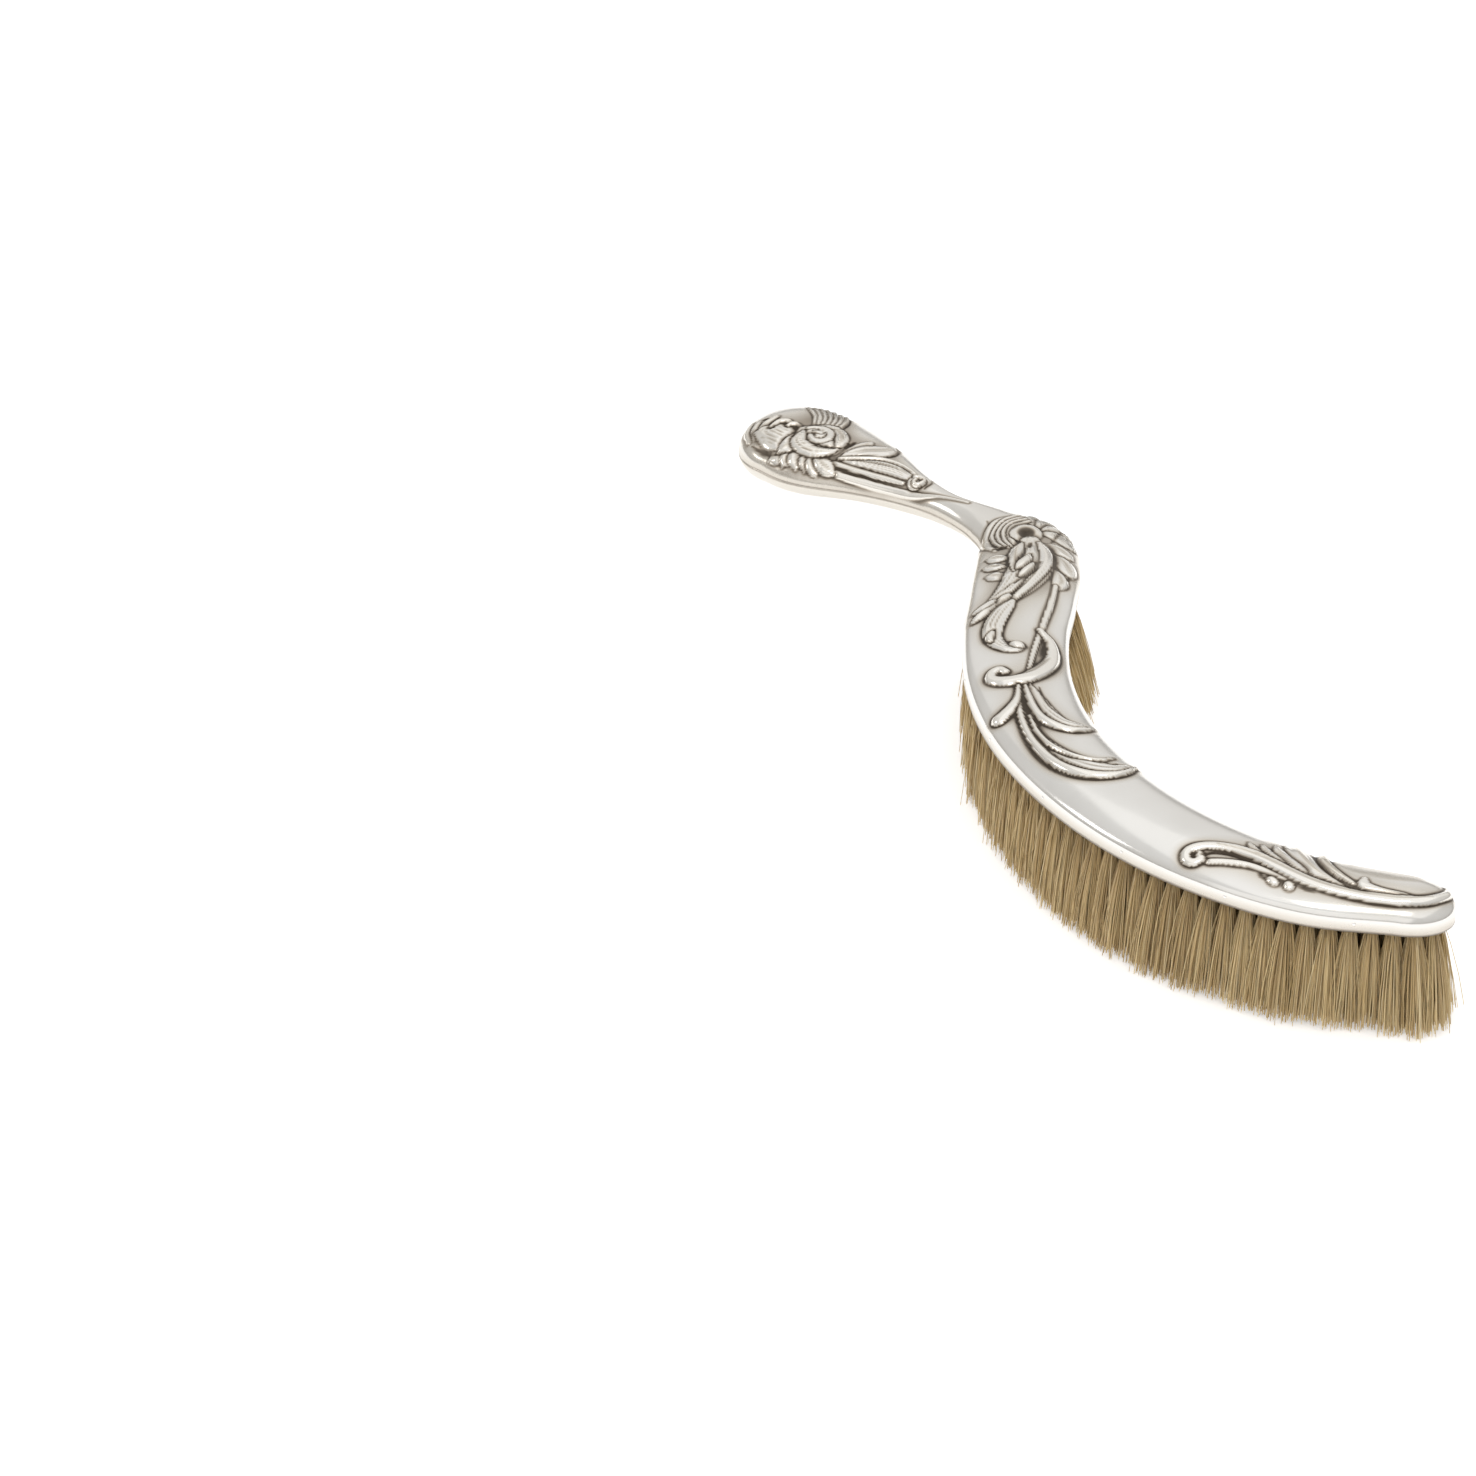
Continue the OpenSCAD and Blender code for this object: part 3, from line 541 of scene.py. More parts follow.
def blurred(h, across, along):
    """A running mean over a grid of values, done three times each way."""
    out = h.copy()
    for axis, reach in ((0, along), (1, across)):
        for _ in range(3):
            pad = np.concatenate([np.repeat(out.take([0], axis), reach, axis), out,
                                  np.repeat(out.take([-1], axis), reach, axis)], axis)
            total = np.cumsum(pad, axis)
            zero = np.zeros_like(total.take([0], axis))
            total = np.concatenate([zero, total], axis)
            n = out.shape[axis]
            high = total.take(np.arange(2 * reach + 1, n + 2 * reach + 1), axis)
            low = total.take(np.arange(0, n), axis)
            out = (high - low) / (2 * reach + 1)
    return out


def add_object(name, data):
    """A new object in the scene that carries the data."""
    ob = bpy.data.objects.new(name, data)
    bpy.context.scene.collection.objects.link(ob)
    return ob


def mesh_object(name, verts_mm, faces, values):
    """A mesh object in metres with its doubles merged and its normals outward."""
    me = bpy.data.meshes.new(name)
    me.from_pydata((np.asarray(verts_mm) * MM).tolist(), [], faces)
    for key, data in values.items():
        layer = me.attributes.new(key, "FLOAT", "POINT")
        layer.data.foreach_set("value", np.asarray(data, np.float32))
    bm = bmesh.new()
    bm.from_mesh(me)
    bmesh.ops.remove_doubles(bm, verts=bm.verts, dist=2e-6)
    bmesh.ops.recalc_face_normals(bm, faces=bm.faces)
    bm.to_mesh(me)
    bm.free()
    me.polygons.foreach_set("use_smooth", [True] * len(me.polygons))
    return add_object(name, me)


def swept_faces(rows, cols):
    """Quads round closed rings, one ring after another."""
    i, j = np.meshgrid(np.arange(rows - 1), np.arange(cols), indexing="ij")
    n = (j + 1) % cols
    quads = np.stack([i * cols + j, i * cols + n, (i + 1) * cols + n, (i + 1) * cols + j], -1)
    return quads.reshape(-1, 4).tolist()


def shell_rings(rows, outer, lip_inset, inner_count, rise_in, up):
    """Closes rings of an outer skin with the lip that turns in and the inner skin.
    up is 1 for a skin over the rim and -1 for one under it."""
    s_lip, width_lip = ring_s(rows, lip_inset)[:2]
    s, width, e, half = ring_s(rows, SHEET)
    w = even_columns(rise_in, s, width, e, half, inner_count)
    rise = rise_in(s[:, None], from_crown(w, e, half))
    inner = place(s[:, None] + 0 * w, w, RIM_Z + up * (rise + (SHEET if up > 0 else 0)))[:, ::-1]

    def lip_line(side, z):
        return place(s_lip, side * width_lip, np.full(len(s_lip), z))[:, None]

    low, high = RIM_Z, RIM_Z + up * SHEET
    return np.concatenate([outer, lip_line(1, low), lip_line(1, high), inner,
                           lip_line(-1, high), lip_line(-1, low)], axis=1)


def seam_line(away, start, fade):
    """The dark line along a seam: 1 up to start away from it, then fading out."""
    return 1 - ease((away - start) / fade)


def silver_values(s, h, dark, lumps, up_wall, turned):
    """How tarnished and how darkened by painted shade each point of the struck back is, and how much its
    crests are lightened, rubbed bright and with painted highlight.
    """
    soft = blurred(h, 4, 4)
    close = blurred(h, 1, 1)
    cavity = (np.clip((soft - h) * HOLLOW_SOOT, 0, 1)
              + np.clip((close - h) * CREASE_SOOT, 0, CREASE_MOST))
    around = blurred(lumps.astype(float), 9, 9)
    smoke = np.interp(s, SMOKE_AT, SMOKE)[:, None]
    level = smoke * ease(around * 1.8) * (1 - ease(h / 0.35))
    # painted shade darker towards the foot of the wall, and the dark line along the seam
    wall = np.maximum(WALL_PAINTED_SHADE * (1 - ease(up_wall / WALL_PAINTED_SHADE_UP)),
                      mix(GRIP_SEAM, HEAD_SEAM, turned) * seam_line(up_wall, 0.25, 0.55))
    wall[:, [0, -1]] = RIM_EDGE
    film = GRIP_FILM * (1 - turned) + FILM
    tarnish_and_shade = np.clip(np.maximum.reduce([dark, cavity, level, wall, film + 0 * dark]), 0, 1)
    # the crests, lighter: rubbed bright and painted highlight
    return tarnish_and_shade, np.clip((h - soft) * CREST_RUB_AND_HIGHLIGHT, 0, 1)


def make_silver_back():
    """The struck back: an outer skin raised by the relief, its lip, and a plain inner skin."""
    rows = ring_places(FINE, PLAIN_RING)
    s, width, e, half = ring_s(rows, 0)
    w = even_columns(top_rise, s, width, e, half, BACK_COLUMNS)
    r = from_crown(w, e, half)
    base = place(s[:, None] + 0 * w, w, RIM_Z + top_rise(s[:, None], r))
    relief = Relief(s[:, None] + 0 * w, w)
    for draw in ORNAMENTS:
        draw(relief)
    h = relief.h.reshape(w.shape)
    dark = relief.dark.reshape(w.shape)
    turned = ease((s - TURN_A) / (TURN_B - TURN_A))[:, None]
    # the relief dies away at the foot of the wall and at the very ends
    foot = mix(GRIP_FOOT, HEAD_FOOT, turned)
    keep = ease((1.0 - r) / (1.0 - foot)) * ease((1 - e[:, None]) / 0.06)
    lumps = h > 0.05
    h = mix(h, blurred(h, 1, 1), SOFTEN_RELIEF) * keep
    dark = mix(dark, blurred(dark, 1, 1), SOFTEN_SOOT) * np.clip(keep * 1.3, 0, 1)
    tarnish_and_shade, crest = silver_values(s, h, dark, lumps, base[..., 2] - RIM_Z, turned)
    n = grid_normals(base)
    n *= np.sign(n[:, w.shape[1] // 2, 2].mean())
    outer = base + n * h[..., None]
    outer[..., 2] = np.maximum(outer[..., 2], RIM_Z)
    lip_inset = mix(FLANGE_W, LIP_W, ease((s + 5 - TURN_A) / (TURN_B - TURN_A)))
    loops = shell_rings(rows, outer, lip_inset, INNER_COLUMNS,
                        lambda a, b: top_rise(a, b, 2 * SHEET), 1)
    pad = np.zeros((len(rows), loops.shape[1] - outer.shape[1]))
    values = {"tarnish_and_shade": np.hstack([tarnish_and_shade, pad + INSIDE]).ravel(),
              "crest": np.hstack([crest, pad]).ravel()}
    return mesh_object("silver_back_struck", loops.reshape(-1, 3),
                       swept_faces(len(rows), loops.shape[1]), values)


def make_underside():
    """The plain lower half of the handle, open where it runs in under the head."""
    rows = [r for r in ring_places(UNDER_RING, UNDER_RING) if r[0] < UNDER_END]
    s, width, e, half = ring_s(rows, 0)
    w = even_columns(under_drop, s, width, e, half, UNDER_COLUMNS)
    drop = under_drop(s[:, None], from_crown(w, e, half))
    outer = place(s[:, None] + 0 * w, w, RIM_Z - drop)
    loops = shell_rings(rows, outer, FLANGE_W, UNDER_INNER_COLUMNS,
                        lambda a, b: under_drop(a, b, SHEET), -1)
    faces = swept_faces(len(rows), loops.shape[1])
    cols = loops.shape[1]
    last = (len(rows) - 1) * cols
    n_outer = outer.shape[1]
    # the open end: quads between the outer and inner skins
    inner_at = [n_outer + 2 + k for k in range(cols - n_outer - 4)]
    pick = np.linspace(0, n_outer - 1, len(inner_at)).round().astype(int)[::-1]
    ends = []
    for k in range(len(inner_at) - 1):
        a, b = pick[k], pick[k + 1]
        ends.append([last + inner_at[k], last + inner_at[k + 1]]
                    + [last + m for m in range(b, a + 1)])
    ends.append([last + inner_at[0], last + n_outer - 1, last + n_outer, last + n_outer + 1])
    ends.append([last + inner_at[-1], last + cols - 2, last + cols - 1, last])
    # painted shade over the whole underside, and the dark line along its seam with the rim
    under_shade_and_seam = np.full((len(rows), cols), UNDER_PAINTED_SHADE)
    down = RIM_Z - outer[..., 2]
    under_shade_and_seam[:, :n_outer] = np.maximum(UNDER_PAINTED_SHADE, UNDER_SEAM * seam_line(down, 0.2, 0.5))
    return mesh_object("handle_underside_shell", loops.reshape(-1, 3), faces + ends,
                       {"tarnish_and_shade": under_shade_and_seam.ravel(), "crest": 0 * under_shade_and_seam.ravel()})


# ---- nodes ----------------------------------------------------------------------------

FLOAT = "NodeSocketFloat"


def fill(tree, n, key, value):
    """Links an input to a socket, or sets it to a value."""
    if isinstance(value, bpy.types.NodeSocket):
        tree.links.new(value, n.inputs[key])
    else:
        n.inputs[key].default_value = value


def node(tree, kind, settings=None, **inputs):
    """Adds a node, sets its properties, and fills or links its inputs by name or number."""
    n = tree.nodes.new(kind)
    for key, value in (settings or {}).items():
        setattr(n, key, value)
    for key, value in inputs.items():
        by_number = key[0] == "_" and key[1:].isdigit()
        fill(tree, n, int(key[1:]) if by_number else key.replace("_", " "), value)
    return n


def fmath(tree, op, a, b=0.0, c=0.0, clamp=False):
    return node(tree, "ShaderNodeMath", {"operation": op, "use_clamp": clamp}, _0=a, _1=b, _2=c).outputs[0]


def vmath(tree, op, a, b=None, scale=None):
    n = node(tree, "ShaderNodeVectorMath", {"operation": op}, _0=a)
    if b is not None:
        fill(tree, n, 1, b)
    if scale is not None:
        fill(tree, n, "Scale", scale)
    return n.outputs["Value"] if op == "LENGTH" else n.outputs["Vector"]


def combine(tree, **parts):
    return node(tree, "ShaderNodeCombineXYZ", None, **parts).outputs[0]


def ramp(tree, value, stops):
    """Colours by value, from (place, colour) stops."""
    n = node(tree, "ShaderNodeValToRGB", None, _0=value)
    while len(n.color_ramp.elements) < len(stops):
        n.color_ramp.elements.new(0.5)
    for element, (at, colour) in zip(n.color_ramp.elements, stops):
        element.position = at
        element.color = (*colour, 1)
    return n.outputs[0]


# ---- shader groups: each gives a mask, and the height of a bump ---------------------------

def new_group(name, **numbers):
    """Starts a group with the given numbers as its inputs."""
    g = bpy.data.node_groups.new(name, "ShaderNodeTree")
    for label, value in numbers.items():
        g.interface.new_socket(label, in_out="INPUT", socket_type=FLOAT).default_value = value
    for label in ("Mask", "Height"):
        g.interface.new_socket(label, in_out="OUTPUT", socket_type=FLOAT)
    return g, g.nodes.new("NodeGroupInput").outputs


def give(g, mask, height):
    """Ends a group with its two outputs."""
    out = g.nodes.new("NodeGroupOutput")
    g.links.new(mask, out.inputs["Mask"])
    g.links.new(height, out.inputs["Height"])
    return g


def make_mottle():
    """Soft cloudy variation: a mask about 0.5, and a fine one for the height of a bump."""
    g, given = new_group("mottle", Scale=40.0, Detail=5.0, Spread=1.0)
    co = node(g, "ShaderNodeTexCoord").outputs["Object"]
    cloud = node(g, "ShaderNodeTexNoise", None, Vector=co, Scale=given["Scale"],
                 Detail=given["Detail"], Roughness=0.6)
    fine = node(g, "ShaderNodeTexNoise", None, Vector=co, Scale=fmath(g, "MULTIPLY", given["Scale"], 9.0),
                Detail=3.0)
    centred = fmath(g, "SUBTRACT", cloud.outputs[0], 0.5)
    return give(g, fmath(g, "MULTIPLY_ADD", centred, given["Spread"], 0.5), fine.outputs[0])


def make_scratches():
    """Fine wiping marks: thin lines in two directions."""
    g, given = new_group("wiping_marks", Density=900.0, Amount=1.0)
    co = node(g, "ShaderNodeTexCoord").outputs["Object"]
    masks = []
    for turn in (0.5, -1.1):
        turned = node(g, "ShaderNodeMapping", None, Vector=co, Rotation=(0.3, 0.2, turn),
                      Scale=(1, 0.05, 0.4))
        lines = node(g, "ShaderNodeTexNoise", None, Vector=turned.outputs[0], Scale=given["Density"],
                     Detail=2.0, Roughness=0.5)
        thin = node(g, "ShaderNodeMapRange", None, Value=lines.outputs[0], From_Min=0.62, From_Max=0.78)
        masks.append(thin.outputs[0])
    marks = fmath(g, "MULTIPLY", fmath(g, "MAXIMUM", *masks), given["Amount"])
    return give(g, marks, marks)


def make_wood_grain():
    """Long fibres and pores along the brush: the mask goes from light to dark."""
    g, given = new_group("wood_grain", Scale=60.0, Stretch=0.08, Contrast=1.0)
    co = node(g, "ShaderNodeTexCoord").outputs["Object"]
    squeezed = vmath(g, "MULTIPLY", co, combine(g, X=given["Stretch"], Y=1.0, Z=1.0))
    bands = node(g, "ShaderNodeTexNoise", None, Vector=squeezed, Scale=given["Scale"],
                 Detail=6.0, Roughness=0.65, Distortion=0.4)
    pores = node(g, "ShaderNodeTexNoise", None, Vector=squeezed,
                 Scale=fmath(g, "MULTIPLY", given["Scale"], 14.0), Detail=2.0)
    pore = node(g, "ShaderNodeMapRange", None, Value=pores.outputs[0], From_Min=0.58, From_Max=0.7)
    centred = fmath(g, "SUBTRACT", bands.outputs[0], 0.5)
    strong = fmath(g, "MULTIPLY_ADD", centred, given["Contrast"], 0.5)
    dark = fmath(g, "MULTIPLY_ADD", pore.outputs[0], 0.35, strong, clamp=True)
    return give(g, dark, fmath(g, "SUBTRACT", 1.0, dark))


MOTTLE, MARKS, GRAIN = make_mottle(), make_scratches(), make_wood_grain()

# ---- finishes ----------------------------------------------------------------------------


def new_material(name):
    m = bpy.data.materials.new(name)
    m.use_nodes = True
    return m, m.node_tree, m.node_tree.nodes["Principled BSDF"]


def use_group(tree, group, **inputs):
    return node(tree, "ShaderNodeGroup", {"node_tree": group}, **inputs).outputs


def attribute(tree, name):
    return node(tree, "ShaderNodeAttribute", {"attribute_name": name}).outputs["Fac"]


def blend_values(tree, factor, low, high):
    return node(tree, "ShaderNodeMapRange", None, Value=factor, To_Min=low, To_Max=high).outputs[0]


def blend_colours(tree, factor, a, b, mode="MIX"):
    a, b = (c if isinstance(c, bpy.types.NodeSocket) else (*c, 1) for c in (a, b))
    return node(tree, "ShaderNodeMix", {"data_type": "RGBA", "blend_type": mode},
                _0=factor, _6=a, _7=b).outputs[2]


def bump(tree, shader, height, strength, distance):
    n = node(tree, "ShaderNodeBump", None, Strength=strength, Distance=distance, Height=height)
    tree.links.new(n.outputs[0], shader.inputs["Normal"])


def silver_finish():
    """Polished silver, with oxide left in the recesses, painted shade on the wall foot and the underside, and
    the crests rubbed bright with painted highlight.
    """
    m, t, p = new_material("struck_silver")
    cloud = use_group(t, MOTTLE, Scale=55.0, Detail=6.0, Spread=1.6)
    marks = use_group(t, MARKS, Density=1400.0, Amount=1.0)
    # this tarnish value also carries painted shade on the wall foot and on the underside
    stored_tarnish_and_shade = attribute(t, "tarnish_and_shade")
    patchy = fmath(t, "MULTIPLY_ADD", cloud["Mask"], 0.5, -0.25)
    soot_and_shade = fmath(t, "MULTIPLY_ADD", patchy, stored_tarnish_and_shade, stored_tarnish_and_shade, clamp=True)
    bright = blend_colours(t, cloud["Mask"], (0.80, 0.785, 0.755), (0.88, 0.868, 0.845))
    # crests lighter and creamier: rubbed bright, and painted highlight
    rubbed_and_highlight = blend_colours(t, attribute(t, "crest"), bright, (0.91, 0.88, 0.825))
    # the darker colours, for oxide and for painted shade
    oxide_and_shade_colour = ramp(t, soot_and_shade, [(0.0, (1.0, 1.0, 1.0)), (0.22, (0.84, 0.805, 0.75)),
                           (0.6, (0.44, 0.385, 0.325)), (1.0, (0.085, 0.068, 0.052))])
    fill(t, p, "Base Color", blend_colours(t, 1.0, rubbed_and_highlight, oxide_and_shade_colour, "MULTIPLY"))
    fill(t, p, "Metallic", 1.0)
    smooth = blend_values(t, cloud["Mask"], 0.10, 0.20)
    marked = fmath(t, "MULTIPLY_ADD", marks["Mask"], 0.08, smooth)
    fill(t, p, "Roughness", fmath(t, "MULTIPLY_ADD", soot_and_shade, 0.35, marked, clamp=True))
    bump(t, p, marks["Height"], 0.10, 0.00002)
    return m


def wood_finish(name, light, dark, scale, roughness):
    """Bare wood, its grain running from light to dark."""
    m, t, p = new_material(name)
    grain = use_group(t, GRAIN, Scale=scale, Contrast=1.8)
    cloud = use_group(t, MOTTLE, Scale=30.0, Spread=1.2)
    colour = blend_colours(t, grain["Mask"], light, dark)
    fill(t, p, "Base Color", blend_colours(t, blend_values(t, cloud["Mask"], 0.0, 0.35), colour,
                                           tuple(c * 0.7 for c in dark)))
    fill(t, p, "Roughness", blend_values(t, grain["Mask"], roughness, roughness + 0.25))
    bump(t, p, grain["Height"], 0.35, 0.0001)
    return m


def plain_metal_finish(name, light, dark, low, high):
    """A dull metal, cloudy in colour and rubbed from roughness low to high."""
    m, t, p = new_material(name)
    cloud = use_group(t, MOTTLE, Scale=120.0, Spread=2.0)
    marks = use_group(t, MARKS, Density=2200.0)
    fill(t, p, "Base Color", blend_colours(t, cloud["Mask"], light, dark))
    fill(t, p, "Metallic", 1.0)
    fill(t, p, "Roughness", blend_values(t, marks["Mask"], low, high))
    bump(t, p, marks["Height"], 0.3, 0.00003)
    return m


def filling_finish():
    """Pitch and plaster, cast in."""
    m, t, p = new_material("cast_filling")
    cloud = use_group(t, MOTTLE, Scale=90.0, Spread=2.2)
    fill(t, p, "Base Color", blend_colours(t, cloud["Mask"], (0.05, 0.035, 0.026), (0.16, 0.12, 0.09)))
    fill(t, p, "Roughness", blend_values(t, cloud["Height"], 0.35, 0.75))
    bump(t, p, cloud["Height"], 0.5, 0.0002)
    return m


def hair_finish():
    """Undyed bristle: each hair its own tone, darker at the root with painted shade under the head, and pale
    at the tip.
    """
    m, t, p = new_material("natural_bristle")
    tone = attribute(t, "tone")
    body = ramp(t, tone, [(0.0, (0.46, 0.32, 0.14)), (0.3, (0.68, 0.51, 0.25)), (0.65, (0.84, 0.68, 0.38)),
                          (0.9, (0.92, 0.80, 0.52)), (1.0, (0.95, 0.88, 0.70))])
    # painted shade: each hair darker near its root, under the head
    ends = ramp(t, attribute(t, "up"), [(0.0, (0.34, 0.29, 0.23)), (0.14, (0.76, 0.71, 0.64)),
                                        (0.45, (0.97, 0.95, 0.92)), (1.0, (1.0, 1.0, 1.0))])
    cloud = use_group(t, MOTTLE, Scale=22.0, Spread=1.5)
    patch = blend_colours(t, cloud["Mask"], (0.88, 0.85, 0.80), (1.0, 1.0, 1.0))
    colour = blend_colours(t, 1.0, body, ends, "MULTIPLY")
    fill(t, p, "Base Color", blend_colours(t, 1.0, colour, patch, "MULTIPLY"))
    fill(t, p, "Roughness", blend_values(t, tone, 0.62, 0.42))
    fill(t, p, "Sheen Weight", 0.12)
    return m


SILVER = silver_finish()
STOCK = wood_finish("stock_beech", (0.50, 0.34, 0.20), (0.27, 0.16, 0.085), 70.0, 0.42)
BOARD = wood_finish("bare_board", (0.60, 0.45, 0.30), (0.40, 0.27, 0.16), 45.0, 0.6)
FILLING = filling_finish()
STEEL = plain_metal_finish("mild_steel", (0.42, 0.42, 0.43), (0.30, 0.29, 0.29), 0.35, 0.55)
BRASS = plain_metal_finish("drawn_brass", (0.72, 0.55, 0.27), (0.55, 0.39, 0.18), 0.25, 0.45)
HAIR = hair_finish()

# ---- geometry node trees ---------------------------------------------------------------


def new_tree(name, **inputs):
    """A tree that takes geometry, the named inputs and a material, and gives geometry."""
    g = bpy.data.node_groups.new(name, "GeometryNodeTree")
    g.interface.new_socket("Geometry", in_out="INPUT", socket_type="NodeSocketGeometry")
    for label, value in inputs.items():
        kind = "NodeSocketInt" if isinstance(value, int) else FLOAT
        sock = g.interface.new_socket(label.replace("_", " "), in_out="INPUT", socket_type=kind)
        sock.default_value = value
    g.interface.new_socket("Material", in_out="INPUT", socket_type="NodeSocketMaterial")
    g.interface.new_socket("Geometry", in_out="OUTPUT", socket_type="NodeSocketGeometry")
    return g, g.nodes.new("NodeGroupInput").outputs


def named(g, name, kind="FLOAT"):
    return node(g, "GeometryNodeInputNamedAttribute", {"data_type": kind}, Name=name).outputs[0]


def store(g, geometry, name, value, kind="FLOAT"):
    """The geometry, with a value kept on its points under a name."""
    return node(g, "GeometryNodeStoreNamedAttribute", {"data_type": kind, "domain": "POINT"},
                Geometry=geometry, Name=name, Value=value).outputs[0]


def random_number(g, low, high, seed):
    n = node(g, "FunctionNodeRandomValue", {"data_type": "FLOAT"}, _2=low, _3=high, Seed=seed)
    return n.outputs[1]


def random_way(g, seed):
    """A level vector, each part between -1 and 1."""
    n = node(g, "FunctionNodeRandomValue", {"data_type": "FLOAT_VECTOR"},
             _0=(-1.0, -1.0, 0.0), _1=(1.0, 1.0, 0.0), Seed=seed)
    return n.outputs[0]


def stand_on(g, points, piece, way, size):
    """Copies of a piece on the points, their z along way, made real."""
    turn = node(g, "FunctionNodeAlignRotationToVector", {"axis": "Z"}, Vector=way).outputs[0]
    put = node(g, "GeometryNodeInstanceOnPoints", None, Points=points, Instance=piece, Rotation=turn,
               Scale=size)
    return node(g, "GeometryNodeRealizeInstances", None, Geometry=put.outputs[0]).outputs[0]


def finish_tree(g, given, geometry):
    """Ends a tree: its geometry gets the material and goes out."""
    done = node(g, "GeometryNodeSetMaterial", None, Geometry=geometry, Material=given["Material"])
    g.links.new(done.outputs[0], g.nodes.new("NodeGroupOutput").inputs[0])
    return g


def make_tuft_tree():
    """Grows hairs from points that carry a root radius, tip radius, lean and length.
    A hair is a tapered three-sided tube that bends a little."""
    g, given = new_tree("tuft_hairs", Hairs=200, Hair_Radius=0.0001, Bend=0.002, Flare=0.0016,
                        Ragged=0.03, Stray=0.2, Seed=1)
    seeds = [fmath(g, "ADD", given["Seed"], float(k * 101)) for k in range(8)]
    dup = node(g, "GeometryNodeDuplicateElements", {"domain": "POINT"}, Geometry=given["Geometry"],
               Amount=given["Hairs"])
    # a place in the round tuft, the same share of the radius at the root and at the tip
    turn = random_number(g, 0.0, 2 * math.pi, seeds[0])
    share = fmath(g, "SQRT", random_number(g, 0.0, 1.0, seeds[1]))
    unit = combine(g, X=fmath(g, "COSINE", turn), Y=fmath(g, "SINE", turn))
    spot = vmath(g, "SCALE", unit, scale=share)
    stray = fmath(g, "POWER", random_number(g, 0.0, 1.0, seeds[3]), 7.0)
    wander = fmath(g, "MULTIPLY_ADD", stray, given["Stray"], 0.26)
    root = vmath(g, "SCALE", spot, scale=named(g, "root_r"))
    tip_spot = vmath(g, "ADD", spot, vmath(g, "SCALE", random_way(g, seeds[2]), scale=wander))
    tip = vmath(g, "SCALE", tip_spot, scale=named(g, "tip_r"))
    reach = vmath(g, "ADD", vmath(g, "SUBTRACT", tip, root), named(g, "lean", "FLOAT_VECTOR"))
    way = vmath(g, "ADD", reach, combine(g, Z=fmath(g, "MULTIPLY", named(g, "length"), -1.0)))
    cut_short = fmath(g, "POWER", random_number(g, 0.0, 1.0, seeds[4]), 2.2)
    trim = fmath(g, "SUBTRACT", 1.0, fmath(g, "MULTIPLY", given["Ragged"], cut_short))
    size = fmath(g, "MULTIPLY", vmath(g, "LENGTH", way), trim)
    placed = node(g, "GeometryNodeSetPosition", None, Geometry=dup.outputs[0], Offset=root)
    pale = fmath(g, "MULTIPLY_ADD", named(g, "pale"), 0.45, 0.06)
    own = fmath(g, "POWER", random_number(g, 0.0, 1.0, seeds[5]), 1.4)
    toned = store(g, placed.outputs[0], "tone", fmath(g, "MULTIPLY_ADD", own, 0.72, pale))
    sway = vmath(g, "ADD", vmath(g, "SCALE", random_way(g, seeds[6]), scale=given["Bend"]),
                 vmath(g, "SCALE", spot, scale=given["Flare"]))
    swayed = store(g, toned, "sway", sway, "FLOAT_VECTOR")
    # the hair itself, from z = 0 at its root to z = 1
    arc = node(g, "GeometryNodeCurvePrimitiveLine", None, Start=(0, 0, 0), End=(0, 0, 1))
    arc = node(g, "GeometryNodeResampleCurve", None, Curve=arc.outputs[0], Count=4)
    up = node(g, "GeometryNodeSplineParameter").outputs["Factor"]
    thin = node(g, "GeometryNodeSetCurveRadius", None, Curve=arc.outputs[0],
                Radius=fmath(g, "MULTIPLY_ADD", up, -0.45, 1.0))
    section = node(g, "GeometryNodeCurvePrimitiveCircle", None, Resolution=3, Radius=1.0)
    tube = node(g, "GeometryNodeCurveToMesh", None, Curve=store(g, thin.outputs[0], "up", up),
                Profile_Curve=section.outputs[0], Fill_Caps=True)
    wide = fmath(g, "MULTIPLY", given["Hair Radius"], random_number(g, 0.75, 1.25, seeds[7]))
    hairs = stand_on(g, swayed, tube.outputs[0], way, combine(g, X=wide, Y=wide, Z=size))
    # each hair bows to one side, most near its middle, and a little at its tip
    t_up = named(g, "up")
    bow = fmath(g, "MULTIPLY", t_up, fmath(g, "SUBTRACT", 1.35, t_up))
    bowed = node(g, "GeometryNodeSetPosition", None, Geometry=hairs,
                 Offset=vmath(g, "SCALE", named(g, "sway", "FLOAT_VECTOR"), scale=bow))
    return finish_tree(g, given, bowed.outputs[0])


def make_pin_tree():
    """A low domed head at each point, standing along the point's way out."""
    g, given = new_tree("pin_heads", Radius=0.0005, Dome=0.0002)
    ball = node(g, "GeometryNodeMeshUVSphere", None, Segments=14, Rings=8, Radius=1.0)
    size = combine(g, X=given["Radius"], Y=given["Radius"], Z=given["Dome"])
    heads = stand_on(g, given["Geometry"], ball.outputs[0], named(g, "lean", "FLOAT_VECTOR"), size)
    return finish_tree(g, given, heads)


def seeded_points(name, places, values):
    """A mesh of loose points in metres that carries the values the trees ask for."""
    me = bpy.data.meshes.new(name)
    me.from_pydata([tuple(p) for p in places], [], [])
    for key, data in values.items():
        data = np.asarray(data, np.float32)
        kind, field = ("FLOAT_VECTOR", "vector") if data.ndim == 2 else ("FLOAT", "value")
        me.attributes.new(key, kind, "POINT").data.foreach_set(field, data.ravel())
    return add_object(name, me)


